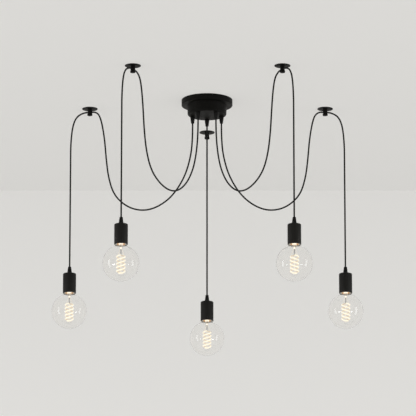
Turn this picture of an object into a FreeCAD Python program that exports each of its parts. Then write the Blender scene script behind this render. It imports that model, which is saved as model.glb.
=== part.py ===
"""Spider chandelier: one ceiling canopy, five cords swagged over ceiling hooks, five globe bulbs.

Units are millimetres, +Z is up and the ceiling is the plane z = 0. The origin is the middle of the
canopy's mounting strap, on the ceiling. The front of the lamp faces -Y.

The canopy is truly round. Round pieces that come in fives and tens have flat sides, which keeps the
whole lamp light to draw. Their radii are those of their corners.
"""
import FreeCAD
import Part
import math
import os

Vector = FreeCAD.Vector
ORIGIN = Vector(0, 0, 0)
UP = Vector(0, 0, 1)

# Fits shared by all pieces, and the overrun of all cuts
SLIP_FIT = 0.1
THREAD_FIT = 0.05
CUT_OVERRUN = 5.0

# Flat sides of a round piece
LARGE_SIDES = 20
SMALL_SIDES = 10

# Ceiling canopy: a wide tier on the ceiling and a drum below it
TIER_RADIUS = 90.0
TIER_HEIGHT = 20.0
DRUM_TOP_RADIUS = 70.0
DRUM_FOOT_RADIUS = 68.3
CANOPY_HEIGHT = 56.0
CANOPY_EDGE_ROUND = 6.0
CANOPY_EDGE_STEPS = 3
CANOPY_WALL = 1.5

# Mounting strap, with two slots for the ceiling screws and two turned-down ends
STRAP_WIDTH = 22.0
STRAP_THICKNESS = 2.0
STRAP_END_GAP = 0.3
STRAP_END_DROP = 16.0
SLOT_SPACING = 96.0
SLOT_LENGTH = 28.0
SLOT_WIDTH = 5.0
SIDE_SCREW_DIAMETER = 4.0
SIDE_SCREW_LENGTH = 10.0
SIDE_SCREW_DEPTH = 10.0

# Terminal block under the middle of the strap
BLOCK_LENGTH = 46.0
BLOCK_WIDTH = 22.0
BLOCK_BASE_HEIGHT = 9.0
BLOCK_TOWER_HEIGHT = 7.0
BLOCK_TOWER_LENGTH = 11.0
BLOCK_TOWER_WIDTH = 13.0
BLOCK_POLE_SPACING = 15.0

# Cord, its stripped core, and the tapered grip that holds it in the canopy and on every cup
CORD_DIAMETER = 5.6
CORE_DIAMETER = 3.6
CORE_STRAIGHT = 12.0
GRIP_RING_RADIUS = 53.5
GRIP_LENGTH = 25.0
GRIP_BASE_DIAMETER = 16.4
GRIP_BASE_HEIGHT = 4.0
GRIP_TIP_DIAMETER = 10.8
GRIP_SHANK_DIAMETER = 10.0
GRIP_SHANK_LENGTH = 9.0
NUT_ACROSS_FLATS = 14.0
NUT_THICKNESS = 3.0
NUT_SIDES = 6

# Ceiling hook: disc and post in one piece, closed from below by a clamp cap
HOOK_DISC_DIAMETER = 55.0
HOOK_DISC_THICKNESS = 2.0
HOOK_POST_DIAMETER = 16.0
HOOK_POST_DEPTH = 19.0
HOOK_WEB_THICKNESS = 2.0
HOOK_BORE_DIAMETER = 10.6
HOOK_SCREW_HOLE_DIAMETER = 4.5
HOOK_CORD_DEPTH = 13.6
CORD_TURN_CLEARANCE = 0.64
CLAMP_CAP_DIAMETER = 18.2
CLAMP_CAP_HEIGHT = 6.6
CLAMP_CAP_BEVEL = 1.6

# Lamp cup and the lampholder inside it
CUP_DIAMETER = 46.5
CUP_HEIGHT = 71.0
CUP_WALL = 1.2
CUP_BEVEL = 2.2
HOLDER_RECESS = 0.5
HOLDER_BORE_DIAMETER = 29.0
HOLDER_BORE_DEPTH = 34.0
SHELL_RECESS = 1.0
SHELL_LENGTH = 28.0
TONGUE_WIDTH = 5.0
TONGUE_THICKNESS = 0.6
TONGUE_REACH = 7.0

# Bulb: a clear globe with a screw cap
BULB_DIAMETER = 125.0
BULB_BELOW_CUP = 2.6
GLASS_WALL = 0.8
GLOBE_STEPS = 7
NECK_DIAMETER = 25.4
NECK_TOP_ABOVE_RIM = 7.0
NECK_FLARE_DIAMETER = 40.0
NECK_FLARE_HEIGHT = 6.0
STEM_DIAMETER = 9.0
STEM_FOOT_HEIGHT = 50.0
ROD_DIAMETER = 3.0
CAP_DIAMETER = 26.4
CAP_HEIGHT = 20.0
CAP_CONE_HEIGHT = 3.8
BUTTON_DIAMETER = 9.0
BUTTON_HEIGHT = 1.6

# Filament: one strip wound as a double spiral, closed by an S at its foot
SPIRAL_RADIUS = 13.8
SPIRAL_HEIGHT = 64.0
SPIRAL_TURNS = 2.5
SPIRAL_STEPS_PER_TURN = 8
BRIDGE_STEPS = 3
STRIP_SIZE = 2.4
LEAD_SIZE = 1.0
LEAD_SPREAD = 3.0

# Where the five pendants hang: the hooks' ring and the drops, set by hand on site
HOOK_RING_RADIUS = 433.5
CUP_TOP_DEPTH = 600.5
DROP_REACH = 70.0
FIRST_GRIP_BEARING = 90.0

# name, place in the ring of grips, bearing of the hook, and the shares of the hook ring's radius and
# of the cup's depth
PLACE_SHARES = (
    ("back", 0, 90.0, 0.957, 1.027),
    ("left", 1, 165.5, 0.994, 1.0),
    ("front_left", 2, 239.1, 1.143, 0.963),
    ("front_right", 3, 301.35, 1.148, 0.963),
    ("right", 4, 14.37, 1.002, 1.0),
)
PENDANT_COUNT = len(PLACE_SHARES)

# Routes of the cords. A swag lies in the upright plane through its grip and its hook: each point is
# its distance from the grip's axis and its depth below the ceiling. It ends level and straight
# outwards in the hook, where the drop goes on face to face.
BACK_SWAG = (
    (0, 81), (0, 142), (8, 208), (29, 278), (70, 343), (121, 381), (172, 391), (225, 374),
    (271, 327), (291, 261), (299, 191), (305, 120), (314, 60), (323, 27),
)
SIDE_SWAG = (
    (0, 81), (0, 142), (8, 208), (30, 278), (74, 343), (128, 379), (181, 389), (237, 372),
    (286, 326), (307, 261), (316, 191), (322, 120), (332, 60), (342, 27),
)
FRONT_SWAG = (
    (0, 81), (0, 136), (13, 215), (37, 279), (81, 337), (140, 377), (202, 388), (267, 374),
    (320, 341), (350, 284), (365, 215), (373, 139), (382, 75), (395, 30),
)
SWAGS = {
    "back": BACK_SWAG,
    "left": SIDE_SWAG,
    "right": SIDE_SWAG,
    "front_left": FRONT_SWAG,
    "front_right": FRONT_SWAG,
}
SWAG_LEVEL_RUN = 22.0

# The drop leaves the hook level and outwards: distance from the hook's axis, depth below the ceiling
DROP_ARCH = ((50, 27), (64, 62))
DROP_LEVEL_RUN = 24.0
DROP_STRAIGHT_FROM = 125.0

CUP_TO_GLOBE = CUP_HEIGHT + BULB_BELOW_CUP + BULB_DIAMETER / 2


def polar(radius, bearing):
    """The plan position at a radius and a bearing in degrees."""
    angle = math.radians(bearing)
    return Vector(radius * math.cos(angle), radius * math.sin(angle), 0)


def arc_points(centre, radius, start, end, steps):
    """Points (radius, height) on an arc about a centre, between two angles in degrees."""
    points = []
    for index in range(steps + 1):
        angle = math.radians(start + (end - start) * index / steps)
        points.append((centre[0] + radius * math.cos(angle), centre[1] + radius * math.sin(angle)))
    return points


def turned(profile):
    """A truly round solid, turned about Z from a closed list of (radius, height) points."""
    points = [Vector(radius, 0, height) for radius, height in profile]
    face = Part.Face(Part.makePolygon(points + points[:1]))
    return face.revolve(ORIGIN, UP, 360)


def skinned(rings, closed):
    """A solid with flat facets from ring to ring, closed on itself or with both ends capped."""
    faces = []
    following = rings[1:] + rings[:1] if closed else rings[1:]
    for ring, next_ring in zip(rings, following):
        for index, corner in enumerate(ring):
            beside = (index + 1) % len(ring)
            across = next_ring[beside]
            for third in ((ring[beside], across), (across, next_ring[index])):
                triangle = [corner, *third]
                area = (triangle[1] - corner).cross(triangle[2] - corner).Length
                if area > THREAD_FIT**2:
                    faces.append(Part.Face(Part.makePolygon(triangle + [corner])))
    if not closed:
        faces.extend(Part.Face(Part.makePolygon(ring + ring[:1])) for ring in (rings[0], rings[-1]))
    shell = Part.makeShell(faces)
    shell.sewShape()
    solid = Part.makeSolid(shell)
    if solid.Volume < 0:
        solid.reverse()
    return solid


def flat_sided(profile, sides):
    """A flat-sided round about Z from a closed list of (corner radius, height) points."""
    rings = []
    for side in range(sides):
        corner = polar(1, 360 * side / sides)
        rings.append([corner * radius + UP * height for radius, height in profile])
    return skinned(rings, True).removeSplitter()


def corner_radius(flat_radius, sides):
    """The corner radius of a flat-sided hole that a round of the given radius turns in."""
    return flat_radius / math.cos(math.pi / sides)


def pin(start, end, diameter):
    """A round pin or cutter from one point to another."""
    axis = end - start
    return Part.makeCylinder(diameter / 2, axis.Length, start, axis)


def box_about(length, width, low, high):
    """An upright box centred on the Z axis between two heights."""
    return Part.makeBox(length, width, high - low, Vector(-length / 2, -width / 2, low))


def placed(shape, position, bearing=0):
    """A copy of a shape turned about Z and then moved."""
    copy = shape.copy()
    copy.rotate(ORIGIN, UP, bearing)
    copy.translate(position)
    return copy


def rounded_route(points):
    """A wire of straight runs joined by tangent arcs, and the arcs' radii."""
    edges = []
    radii = []
    start = points[0]
    for before, corner, after in zip(points, points[1:], points[2:]):
        inward = corner - before
        outward = after - corner
        setback = 0.45 * min(inward.Length, outward.Length)
        half_turn = inward.getAngle(outward) / 2
        radius = setback / math.tan(half_turn)
        inward.normalize()
        outward.normalize()
        arc_start = corner - inward * setback
        arc_end = corner + outward * setback
        to_centre = outward - inward
        to_centre.normalize()
        middle = corner + to_centre * (radius / math.cos(half_turn) - radius)
        edges.append(Part.LineSegment(start, arc_start).toShape())
        edges.append(Part.Arc(arc_start, middle, arc_end).toShape())
        radii.append(radius)
        start = arc_end
    edges.append(Part.LineSegment(start, points[-1]).toShape())
    return Part.Wire(edges), radii


def cord_tube(name, points, diameter, sideways):
    """A stretch of cord as a square tube of the round cord's section, with its figures printed."""
    path, radii = rounded_route(points)
    forward = points[1] - points[0]
    other = sideways.cross(forward)
    other.normalize()
    half = diameter * math.sqrt(math.pi) / 4
    corners = [
        points[0] + sideways * (half * s) + other * (half * t)
        for s, t in ((-1, -1), (1, -1), (1, 1), (-1, 1))
    ]
    section = Part.makePolygon(corners + corners[:1])
    tube = path.makePipeShell([section], True, False)
    filled = tube.Volume / (Part.Face(section).Area * path.Length)
    shown = " ".join(f"{radius:.0f}" for radius in radii)
    print(f"{name}: length {path.Length:.0f}, radii {shown}, volume / (section x length) {filled:.4f}")
    return tube


def pendant_places():
    """Where each pendant's grip, hook and cup are, from the shares."""
    places = []
    for name, ring_place, bearing, radius_share, depth_share in PLACE_SHARES:
        grip_bearing = FIRST_GRIP_BEARING + ring_place * 360 / PENDANT_COUNT
        hook_radius = HOOK_RING_RADIUS * radius_share
        places.append(
            {
                "name": name,
                "bearing": bearing,
                "grip": polar(GRIP_RING_RADIUS, grip_bearing),
                "hook": polar(hook_radius, bearing),
                "axis": polar(hook_radius + DROP_REACH, bearing),
                "cup_top": -CUP_TOP_DEPTH * depth_share,
            }
        )
    return places


def canopy_cover():
    """The two-tier shell, open at the ceiling, with five grip holes and two side screw holes."""
    tier_inner = TIER_RADIUS - CANOPY_WALL
    floor = -CANOPY_HEIGHT + CANOPY_WALL
    foot_inner = DRUM_FOOT_RADIUS - CANOPY_WALL
    inner_bevel = CANOPY_EDGE_ROUND - CANOPY_WALL
    edge_centre = (DRUM_FOOT_RADIUS - CANOPY_EDGE_ROUND, -CANOPY_HEIGHT + CANOPY_EDGE_ROUND)
    edge = arc_points(edge_centre, CANOPY_EDGE_ROUND, 0, -90, CANOPY_EDGE_STEPS)
    outside = [(TIER_RADIUS, 0), (TIER_RADIUS, -TIER_HEIGHT), (DRUM_TOP_RADIUS, -TIER_HEIGHT), *edge]
    inside = [
        (foot_inner - inner_bevel, floor),
        (foot_inner, floor + inner_bevel),
        (DRUM_TOP_RADIUS - CANOPY_WALL, -TIER_HEIGHT + CANOPY_WALL),
        (tier_inner, -TIER_HEIGHT + CANOPY_WALL),
        (tier_inner, 0),
    ]
    shell = turned([*outside, (0, -CANOPY_HEIGHT), (0, floor), *inside])
    hole = GRIP_SHANK_DIAMETER / 2 + SLIP_FIT
    low = -CANOPY_HEIGHT - CUT_OVERRUN
    high = floor + CUT_OVERRUN
    shank = flat_sided([(0, low), (hole, low), (hole, high), (0, high)], SMALL_SIDES)
    for place in pendant_places():
        shell = shell.cut(placed(shank, place["grip"]))
    side = Vector(TIER_RADIUS + CUT_OVERRUN, 0, -SIDE_SCREW_DEPTH)
    return shell.cut(pin(side, Vector(-side.x, 0, side.z), SIDE_SCREW_DIAMETER + 2 * SLIP_FIT))


def strap_half_length():
    """The strap reaches the tier's inner wall, less a gap at its corners."""
    inner = TIER_RADIUS - CANOPY_WALL - STRAP_END_GAP
    return math.sqrt(inner**2 - (STRAP_WIDTH / 2) ** 2)


def mounting_strap():
    """A flat bar on the ceiling with two slots, its ends turned down to take the side screws."""
    half = strap_half_length()
    strap = box_about(2 * half, STRAP_WIDTH, -STRAP_THICKNESS, 0)
    straight = SLOT_LENGTH - SLOT_WIDTH
    for side in (-1, 1):
        low_x = min(side * half, side * (half - STRAP_THICKNESS))
        leg_corner = Vector(low_x, -STRAP_WIDTH / 2, -STRAP_END_DROP)
        strap = strap.fuse(Part.makeBox(STRAP_THICKNESS, STRAP_WIDTH, STRAP_END_DROP, leg_corner))
        slot = box_about(straight, SLOT_WIDTH, -STRAP_THICKNESS - CUT_OVERRUN, CUT_OVERRUN)
        for end in (-1, 1):
            round_foot = Vector(end * straight / 2, 0, -STRAP_THICKNESS - CUT_OVERRUN)
            round_top = Vector(round_foot.x, 0, CUT_OVERRUN)
            slot = slot.fuse(pin(round_foot, round_top, SLOT_WIDTH))
        slot.translate(Vector(side * SLOT_SPACING / 2, 0, 0))
        strap = strap.cut(slot)
    across = Vector(half + CUT_OVERRUN, 0, -SIDE_SCREW_DEPTH)
    hole = pin(across, Vector(-across.x, 0, across.z), SIDE_SCREW_DIAMETER + 2 * THREAD_FIT)
    return strap.cut(hole).removeSplitter()


def canopy_screws():
    """Two flush side screws through the canopy's rim into the strap's ends."""
    screws = []
    for side in (-1, 1):
        head = Vector(side * TIER_RADIUS, 0, -SIDE_SCREW_DEPTH)
        tip = Vector(side * (TIER_RADIUS - SIDE_SCREW_LENGTH), 0, -SIDE_SCREW_DEPTH)
        screws.append(pin(head, tip, SIDE_SCREW_DIAMETER))
    return Part.makeCompound(screws)


def terminal_block():
    """A three-pole block under the strap: a bar with a screw tower for each pole."""
    top = -STRAP_THICKNESS
    base_low = top - BLOCK_BASE_HEIGHT
    tower_low = base_low - BLOCK_TOWER_HEIGHT
    block = box_about(BLOCK_LENGTH, BLOCK_WIDTH, base_low, top)
    tower = box_about(BLOCK_TOWER_LENGTH, BLOCK_TOWER_WIDTH, tower_low, base_low)
    well = box_about(
        BLOCK_TOWER_LENGTH / 2, BLOCK_TOWER_WIDTH / 2, tower_low - CUT_OVERRUN, base_low
    )
    tower = tower.cut(well)
    for pole in (-1, 0, 1):
        block = block.fuse(placed(tower, Vector(pole * BLOCK_POLE_SPACING, 0, 0)))
    return block.removeSplitter()


def cord_cores():
    """The cords' stripped cores in the canopy, up from the grips' shanks and in to the block."""
    cores = []
    height = -STRAP_THICKNESS - BLOCK_BASE_HEIGHT / 2
    for place in pendant_places():
        grip = place["grip"]
        if abs(grip.x) > BLOCK_LENGTH:
            outwards = Vector(math.copysign(1, grip.x), 0, 0)
            port = outwards * (BLOCK_LENGTH / 2) + Vector(0, BLOCK_WIDTH / 4, height)
        else:
            outwards = Vector(0, math.copysign(1, grip.y), 0)
            pole_x = math.copysign(BLOCK_POLE_SPACING, grip.x) if abs(grip.x) > CORE_DIAMETER else 0
            port = outwards * (BLOCK_WIDTH / 2) + Vector(pole_x, 0, height)
        points = [
            grip - UP * (CANOPY_HEIGHT - GRIP_SHANK_LENGTH),
            grip + UP * height,
            port + outwards * CORE_STRAIGHT,
            port,
        ]
        bend = (points[2] - points[1]).cross(outwards)
        if bend.Length < THREAD_FIT:
            del points[2]
        sideways = UP.cross(points[2] - points[1])
        sideways.normalize()
        cores.append(cord_tube(f"core {place['name']}", points, CORE_DIAMETER, sideways))
    return Part.makeCompound(cores)


def cord_grip():
    """A tapered strain relief, base at z = 0 and tip up, with its threaded shank below."""
    shank = GRIP_SHANK_DIAMETER / 2
    base = GRIP_BASE_DIAMETER / 2
    profile = [
        (0, -GRIP_SHANK_LENGTH),
        (shank, -GRIP_SHANK_LENGTH),
        (shank, 0),
        (base, 0),
        (base, GRIP_BASE_HEIGHT),
        (GRIP_TIP_DIAMETER / 2, GRIP_LENGTH),
        (0, GRIP_LENGTH),
    ]
    return flat_sided(profile, SMALL_SIDES)


def canopy_grips():
    """The five grips under the canopy, tips down."""
    down = cord_grip()
    down.rotate(ORIGIN, Vector(1, 0, 0), 180)
    return Part.makeCompound(
        [placed(down, place["grip"] - UP * CANOPY_HEIGHT) for place in pendant_places()]
    )


def grip_nuts():
    """The hexagon nuts that lock the grips' shanks on the canopy's floor."""
    corner = NUT_ACROSS_FLATS / 2 / math.cos(math.pi / NUT_SIDES)
    bore = GRIP_SHANK_DIAMETER / 2 + THREAD_FIT
    nut = flat_sided([(0, 0), (corner, 0), (corner, NUT_THICKNESS), (0, NUT_THICKNESS)], NUT_SIDES)
    top = NUT_THICKNESS + CUT_OVERRUN
    thread = flat_sided([(0, -CUT_OVERRUN), (bore, -CUT_OVERRUN), (bore, top), (0, top)], SMALL_SIDES)
    nut = nut.cut(thread)
    floor = UP * (-CANOPY_HEIGHT + CANOPY_WALL)
    return Part.makeCompound([placed(nut, place["grip"] + floor) for place in pendant_places()])


def ceiling_hook():
    """Disc and post, bored from below, with a notch that the cord passes and turns in along X."""
    disc = HOOK_DISC_DIAMETER / 2
    post = HOOK_POST_DIAMETER / 2
    bore = HOOK_BORE_DIAMETER / 2
    web = -HOOK_DISC_THICKNESS - HOOK_WEB_THICKNESS
    profile = [
        (0, 0),
        (disc, 0),
        (disc, -HOOK_DISC_THICKNESS),
        (post, -HOOK_DISC_THICKNESS),
        (post, -HOOK_POST_DEPTH),
        (bore, -HOOK_POST_DEPTH),
        (bore, web),
        (0, web),
    ]
    hook = flat_sided(profile, LARGE_SIDES)
    clear = CORD_DIAMETER + 2 * CORD_TURN_CLEARANCE
    notch_length = HOOK_POST_DIAMETER + 2 * CUT_OVERRUN
    notch_top = -HOOK_CORD_DEPTH + clear / 2
    notch = box_about(notch_length, clear, -HOOK_POST_DEPTH - CUT_OVERRUN, notch_top)
    screw_hole = pin(UP * (web - CUT_OVERRUN), UP * CUT_OVERRUN, HOOK_SCREW_HOLE_DIAMETER)
    return hook.cut(notch).cut(screw_hole)


def clamp_cap():
    """The cap under the post: its plug goes up the bore and keeps the cord in."""
    top = -HOOK_POST_DEPTH
    bottom = top - CLAMP_CAP_HEIGHT
    plug_top = -HOOK_CORD_DEPTH - CORD_DIAMETER / 2 - CORD_TURN_CLEARANCE
    plug = HOOK_BORE_DIAMETER / 2 - THREAD_FIT
    head = CLAMP_CAP_DIAMETER / 2
    profile = [
        (0, plug_top),
        (plug, plug_top),
        (plug, top),
        (head, top),
        (head, bottom + CLAMP_CAP_BEVEL),
        (head - CLAMP_CAP_BEVEL, bottom),
        (0, bottom),
    ]
    return flat_sided(profile, SMALL_SIDES)


def swag_cord(place):
    """The free cord from the canopy grip's tip to the middle of the hook."""
    along = place["hook"] - place["grip"]
    along.normalize()
    points = [place["grip"] + along * reach - UP * depth for reach, depth in SWAGS[place["name"]]]
    middle = place["hook"] - UP * HOOK_CORD_DEPTH
    points += [middle - polar(SWAG_LEVEL_RUN, place["bearing"]), middle]
    return cord_tube(f"swag {place['name']}", points, CORD_DIAMETER, UP.cross(along))


def drop_cord(place):
    """The cord from the middle of the hook, over and down to the tip of the cup's grip."""
    outwards = polar(1, place["bearing"])
    route = [(0, HOOK_CORD_DEPTH), (DROP_LEVEL_RUN, HOOK_CORD_DEPTH)]
    route.extend(DROP_ARCH)
    route.append((DROP_REACH, DROP_STRAIGHT_FROM))
    route.append((DROP_REACH, -place["cup_top"] - GRIP_LENGTH))
    points = [place["hook"] + outwards * reach - UP * depth for reach, depth in route]
    return cord_tube(f"drop {place['name']}", points, CORD_DIAMETER, UP.cross(outwards))


def socket_cup():
    """The black cup, top at z = 0, open below."""
    outer = CUP_DIAMETER / 2
    inner = outer - CUP_WALL
    profile = [(0, 0), (outer - CUP_BEVEL, 0), (outer, -CUP_BEVEL), (outer, -CUP_HEIGHT)]
    profile += [(inner, -CUP_HEIGHT), (inner, -CUP_BEVEL), (inner - CUP_BEVEL, -CUP_WALL), (0, -CUP_WALL)]
    hole = GRIP_SHANK_DIAMETER / 2 + SLIP_FIT
    low = -CUP_WALL - CUT_OVERRUN
    shank = flat_sided([(0, low), (hole, low), (hole, CUT_OVERRUN), (0, CUT_OVERRUN)], SMALL_SIDES)
    return flat_sided(profile, LARGE_SIDES).cut(shank)


def lampholder_body():
    """The moulded insulator that fills the cup, threaded on the grip's shank and bored from below."""
    outer = CUP_DIAMETER / 2 - CUP_WALL - SLIP_FIT
    bore = HOLDER_BORE_DIAMETER / 2
    foot = -CUP_HEIGHT + HOLDER_RECESS
    bore_end = foot + HOLDER_BORE_DEPTH
    top = -CUP_WALL - CUP_BEVEL
    profile = [(0, top), (outer, top), (outer, foot), (bore, foot), (bore, bore_end), (0, bore_end)]
    thread = GRIP_SHANK_DIAMETER / 2 + THREAD_FIT
    low = -GRIP_SHANK_LENGTH
    shank = flat_sided([(0, low), (thread, low), (thread, 0), (0, 0)], SMALL_SIDES)
    return flat_sided(profile, LARGE_SIDES).cut(shank)


def lampholder_contacts():
    """The brass screw shell in the bore, and the centre tongue from the bore's end."""
    outer = HOLDER_BORE_DIAMETER / 2 - THREAD_FIT
    inner = corner_radius(CAP_DIAMETER / 2 + THREAD_FIT, LARGE_SIDES)
    foot = -CUP_HEIGHT + HOLDER_RECESS + SHELL_RECESS
    top = foot + SHELL_LENGTH
    shell = flat_sided([(inner, foot), (outer, foot), (outer, top), (inner, top)], LARGE_SIDES)
    bore_end = -CUP_HEIGHT + HOLDER_RECESS + HOLDER_BORE_DEPTH
    touch = button_foot() + BUTTON_HEIGHT + THREAD_FIT
    corner = Vector(-TONGUE_REACH / 2, -TONGUE_WIDTH / 2, touch)
    blade = Part.makeBox(TONGUE_REACH, TONGUE_WIDTH, TONGUE_THICKNESS, corner)
    leg = Part.makeBox(TONGUE_THICKNESS, TONGUE_WIDTH, bore_end - touch, corner)
    return Part.makeCompound([shell, blade.fuse(leg).removeSplitter()])


def neck_top():
    """Height of the top of the glass neck, from the cup's top."""
    return -CUP_HEIGHT + NECK_TOP_ABOVE_RIM


def button_foot():
    """Height of the foot of the bulb's centre contact, from the cup's top."""
    return neck_top() + CAP_HEIGHT + CAP_CONE_HEIGHT + THREAD_FIT


def bulb_glass():
    """Globe, neck, inner stem and support rod as one piece of glass, centred on the globe."""
    ball = BULB_DIAMETER / 2
    inner_ball = ball - GLASS_WALL
    flare = NECK_FLARE_DIAMETER / 2
    neck = NECK_DIAMETER / 2
    inner_neck = neck - GLASS_WALL
    top = neck_top() + CUP_TO_GLOBE
    flare_angle = math.degrees(math.acos(flare / ball))
    flare_top = ball * math.sin(math.radians(flare_angle)) + NECK_FLARE_HEIGHT
    stem = STEM_DIAMETER / 2
    rod = ROD_DIAMETER / 2
    rod_foot = -SPIRAL_HEIGHT / 2 + STRIP_SIZE / 2 + SLIP_FIT
    outside = arc_points((0, 0), ball, -90, flare_angle, GLOBE_STEPS)
    inside = arc_points((0, 0), inner_ball, -90, flare_angle, GLOBE_STEPS)
    outside[0] = (0, -ball)
    inside[0] = (0, -inner_ball)
    outside += [(neck, flare_top), (neck, top), (0, top)]
    stem_outline = [(0, rod_foot), (rod, rod_foot), (rod, STEM_FOOT_HEIGHT), (stem, STEM_FOOT_HEIGHT)]
    neck_outline = [(inner_neck, top - GLASS_WALL), (inner_neck, flare_top)]
    return flat_sided(outside + stem_outline + neck_outline + inside[::-1], LARGE_SIDES)


def bulb_cap():
    """The metal screw cap on the neck, with its insulating cone."""
    radius = CAP_DIAMETER / 2
    foot = neck_top()
    shoulder = foot + CAP_HEIGHT
    tip = shoulder + CAP_CONE_HEIGHT
    profile = [(0, foot), (radius, foot), (radius, shoulder), (BUTTON_DIAMETER / 2, tip), (0, tip)]
    return flat_sided(profile, LARGE_SIDES)


def bulb_contact():
    """The centre contact button on the cap's tip."""
    foot = button_foot()
    radius = BUTTON_DIAMETER / 2
    top = foot + BUTTON_HEIGHT
    return flat_sided([(0, foot), (radius, foot), (radius, top), (0, top)], SMALL_SIDES)


def spiral_points():
    """The double spiral's middle line: down one strand, an S across the foot, up the other."""
    steps = round(SPIRAL_TURNS * SPIRAL_STEPS_PER_TURN)
    strand = []
    for index in range(steps + 1):
        angle = 360 * SPIRAL_TURNS * index / steps
        height = SPIRAL_HEIGHT * (1 / 2 - index / steps)
        strand.append(polar(SPIRAL_RADIUS, angle) + UP * height)
    last = 360 * SPIRAL_TURNS
    low = UP * (-SPIRAL_HEIGHT / 2)
    middle = polar(SPIRAL_RADIUS / 2, last)
    bend = []
    for index in range(1, 2 * BRIDGE_STEPS):
        turn = 180 * index / BRIDGE_STEPS
        if index <= BRIDGE_STEPS:
            bend.append(low + middle + polar(SPIRAL_RADIUS / 2, last + turn))
        else:
            bend.append(low - middle + polar(SPIRAL_RADIUS / 2, last + 180 - turn))
    other = [Vector(-point.x, -point.y, point.z) for point in strand[::-1]]
    return strand + bend + other


def least_spiral_gap(points):
    """The least clear distance between the strip and its own later turns."""
    apart = SPIRAL_STEPS_PER_TURN // 2
    gaps = []
    for index, point in enumerate(points):
        gaps.extend((other - point).Length - STRIP_SIZE for other in points[index + apart:])
    return min(gaps)


def strip_ring(before, point, after):
    """The strip's four corners at a point of its middle line, with upright sides."""
    sideways = UP.cross(after - before)
    sideways.normalize()
    half = STRIP_SIZE / 2
    return [
        point + sideways * (half * s) + UP * (half * u)
        for s, u in ((-1, -1), (1, -1), (1, 1), (-1, 1))
    ]


def lead_wire(side):
    """A slanting lead from the stem's foot to the top of one strand."""
    half = LEAD_SIZE / 2
    rings = []
    for reach, height in (
        (LEAD_SPREAD, STEM_FOOT_HEIGHT - THREAD_FIT),
        (SPIRAL_RADIUS, SPIRAL_HEIGHT / 2 + STRIP_SIZE / 2 + THREAD_FIT),
    ):
        centre = Vector(side * reach, 0, height)
        rings.append(
            [centre + Vector(x * half, y * half, 0) for x, y in ((-1, -1), (1, -1), (1, 1), (-1, 1))]
        )
    return skinned(rings, False)


def bulb_filament():
    """The wound strip and its two leads, centred on the globe."""
    points = spiral_points()
    rings = []
    for index, point in enumerate(points):
        before = points[max(index - 1, 0)]
        after = points[min(index + 1, len(points) - 1)]
        rings.append(strip_ring(before, point, after))
    return Part.makeCompound([skinned(rings, False), lead_wire(1), lead_wire(-1)])


def build_nodes():
    """All sub-parts by name."""
    nodes = {
        "canopy_cover": canopy_cover(),
        "mounting_strap": mounting_strap(),
        "canopy_screws": canopy_screws(),
        "terminal_block": terminal_block(),
        "cord_cores": cord_cores(),
        "canopy_grips": canopy_grips(),
        "grip_nuts": grip_nuts(),
    }
    places = pendant_places()
    hook = ceiling_hook()
    cap = clamp_cap()
    for name, shape in (("ceiling_hooks", hook), ("hook_clamp_caps", cap)):
        nodes[name] = Part.makeCompound([placed(shape, place["hook"], place["bearing"]) for place in places])
    cup_pieces = {
        "cup_grip": cord_grip(),
        "socket_cup": socket_cup(),
        "lampholder_body": lampholder_body(),
        "lampholder_contacts": lampholder_contacts(),
        "bulb_cap": bulb_cap(),
        "bulb_contact": bulb_contact(),
    }
    glass = bulb_glass()
    filament = bulb_filament()
    for place in places:
        name = place["name"]
        nodes[f"swag_cord_{name}"] = swag_cord(place)
        nodes[f"drop_cord_{name}"] = drop_cord(place)
        top = place["axis"] + UP * place["cup_top"]
        for piece, shape in cup_pieces.items():
            nodes[f"{piece}_{name}"] = placed(shape, top, place["bearing"])
        globe = top - UP * CUP_TO_GLOBE
        nodes[f"bulb_glass_{name}"] = placed(glass, globe, place["bearing"])
        nodes[f"bulb_filament_{name}"] = placed(filament, globe)
    return nodes


def main():
    os.makedirs("parts", exist_ok=True)
    print(f"least gap between the filament's turns: {least_spiral_gap(spiral_points()):.1f}")
    for name, shape in build_nodes().items():
        shape.exportStep(f"parts/{name}.step")


main()
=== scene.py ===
# %% [markdown]
# # A spider chandelier
# A spider chandelier hangs several lamps from one canopy on the ceiling. Each cord leaves the canopy,
# sags in a long swag, goes over a hook on the ceiling and then straight down to its lamp. The solid
# model fixes every size and place, so this script only reads it and dresses it. All lengths are in
# metres, the ceiling is the plane z = 0 and the front of the lamp faces -Y.

# %% Load the frame
import math

import bmesh
import bpy
from mathutils import Matrix, Vector


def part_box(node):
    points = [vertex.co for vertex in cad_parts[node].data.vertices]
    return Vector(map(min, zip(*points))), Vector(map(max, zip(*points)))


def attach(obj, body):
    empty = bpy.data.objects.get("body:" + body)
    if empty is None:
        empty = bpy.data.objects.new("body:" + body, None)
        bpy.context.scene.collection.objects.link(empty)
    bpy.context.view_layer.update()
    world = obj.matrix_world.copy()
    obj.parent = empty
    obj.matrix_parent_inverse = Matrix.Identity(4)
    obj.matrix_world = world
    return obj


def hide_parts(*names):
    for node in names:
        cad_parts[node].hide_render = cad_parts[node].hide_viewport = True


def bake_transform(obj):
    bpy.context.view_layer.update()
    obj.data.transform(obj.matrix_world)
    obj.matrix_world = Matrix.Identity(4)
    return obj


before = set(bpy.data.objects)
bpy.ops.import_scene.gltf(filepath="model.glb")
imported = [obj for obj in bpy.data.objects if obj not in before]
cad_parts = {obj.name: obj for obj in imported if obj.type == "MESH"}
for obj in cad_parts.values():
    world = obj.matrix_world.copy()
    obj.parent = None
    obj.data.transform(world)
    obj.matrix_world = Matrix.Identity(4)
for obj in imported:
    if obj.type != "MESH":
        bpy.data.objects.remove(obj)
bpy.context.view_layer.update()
UP = Vector((0, 0, 1))
MM = 0.001

# %% [markdown]
# ## The camera
# The photograph looks up at the lamp with a very long lens, which keeps the cups nearly parallel. The
# lens and the tilt below were found by fitting the canopy, the hooks and the globes to their places
# in the picture. The camera comes first, so that every later piece can be judged against the photo.

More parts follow.
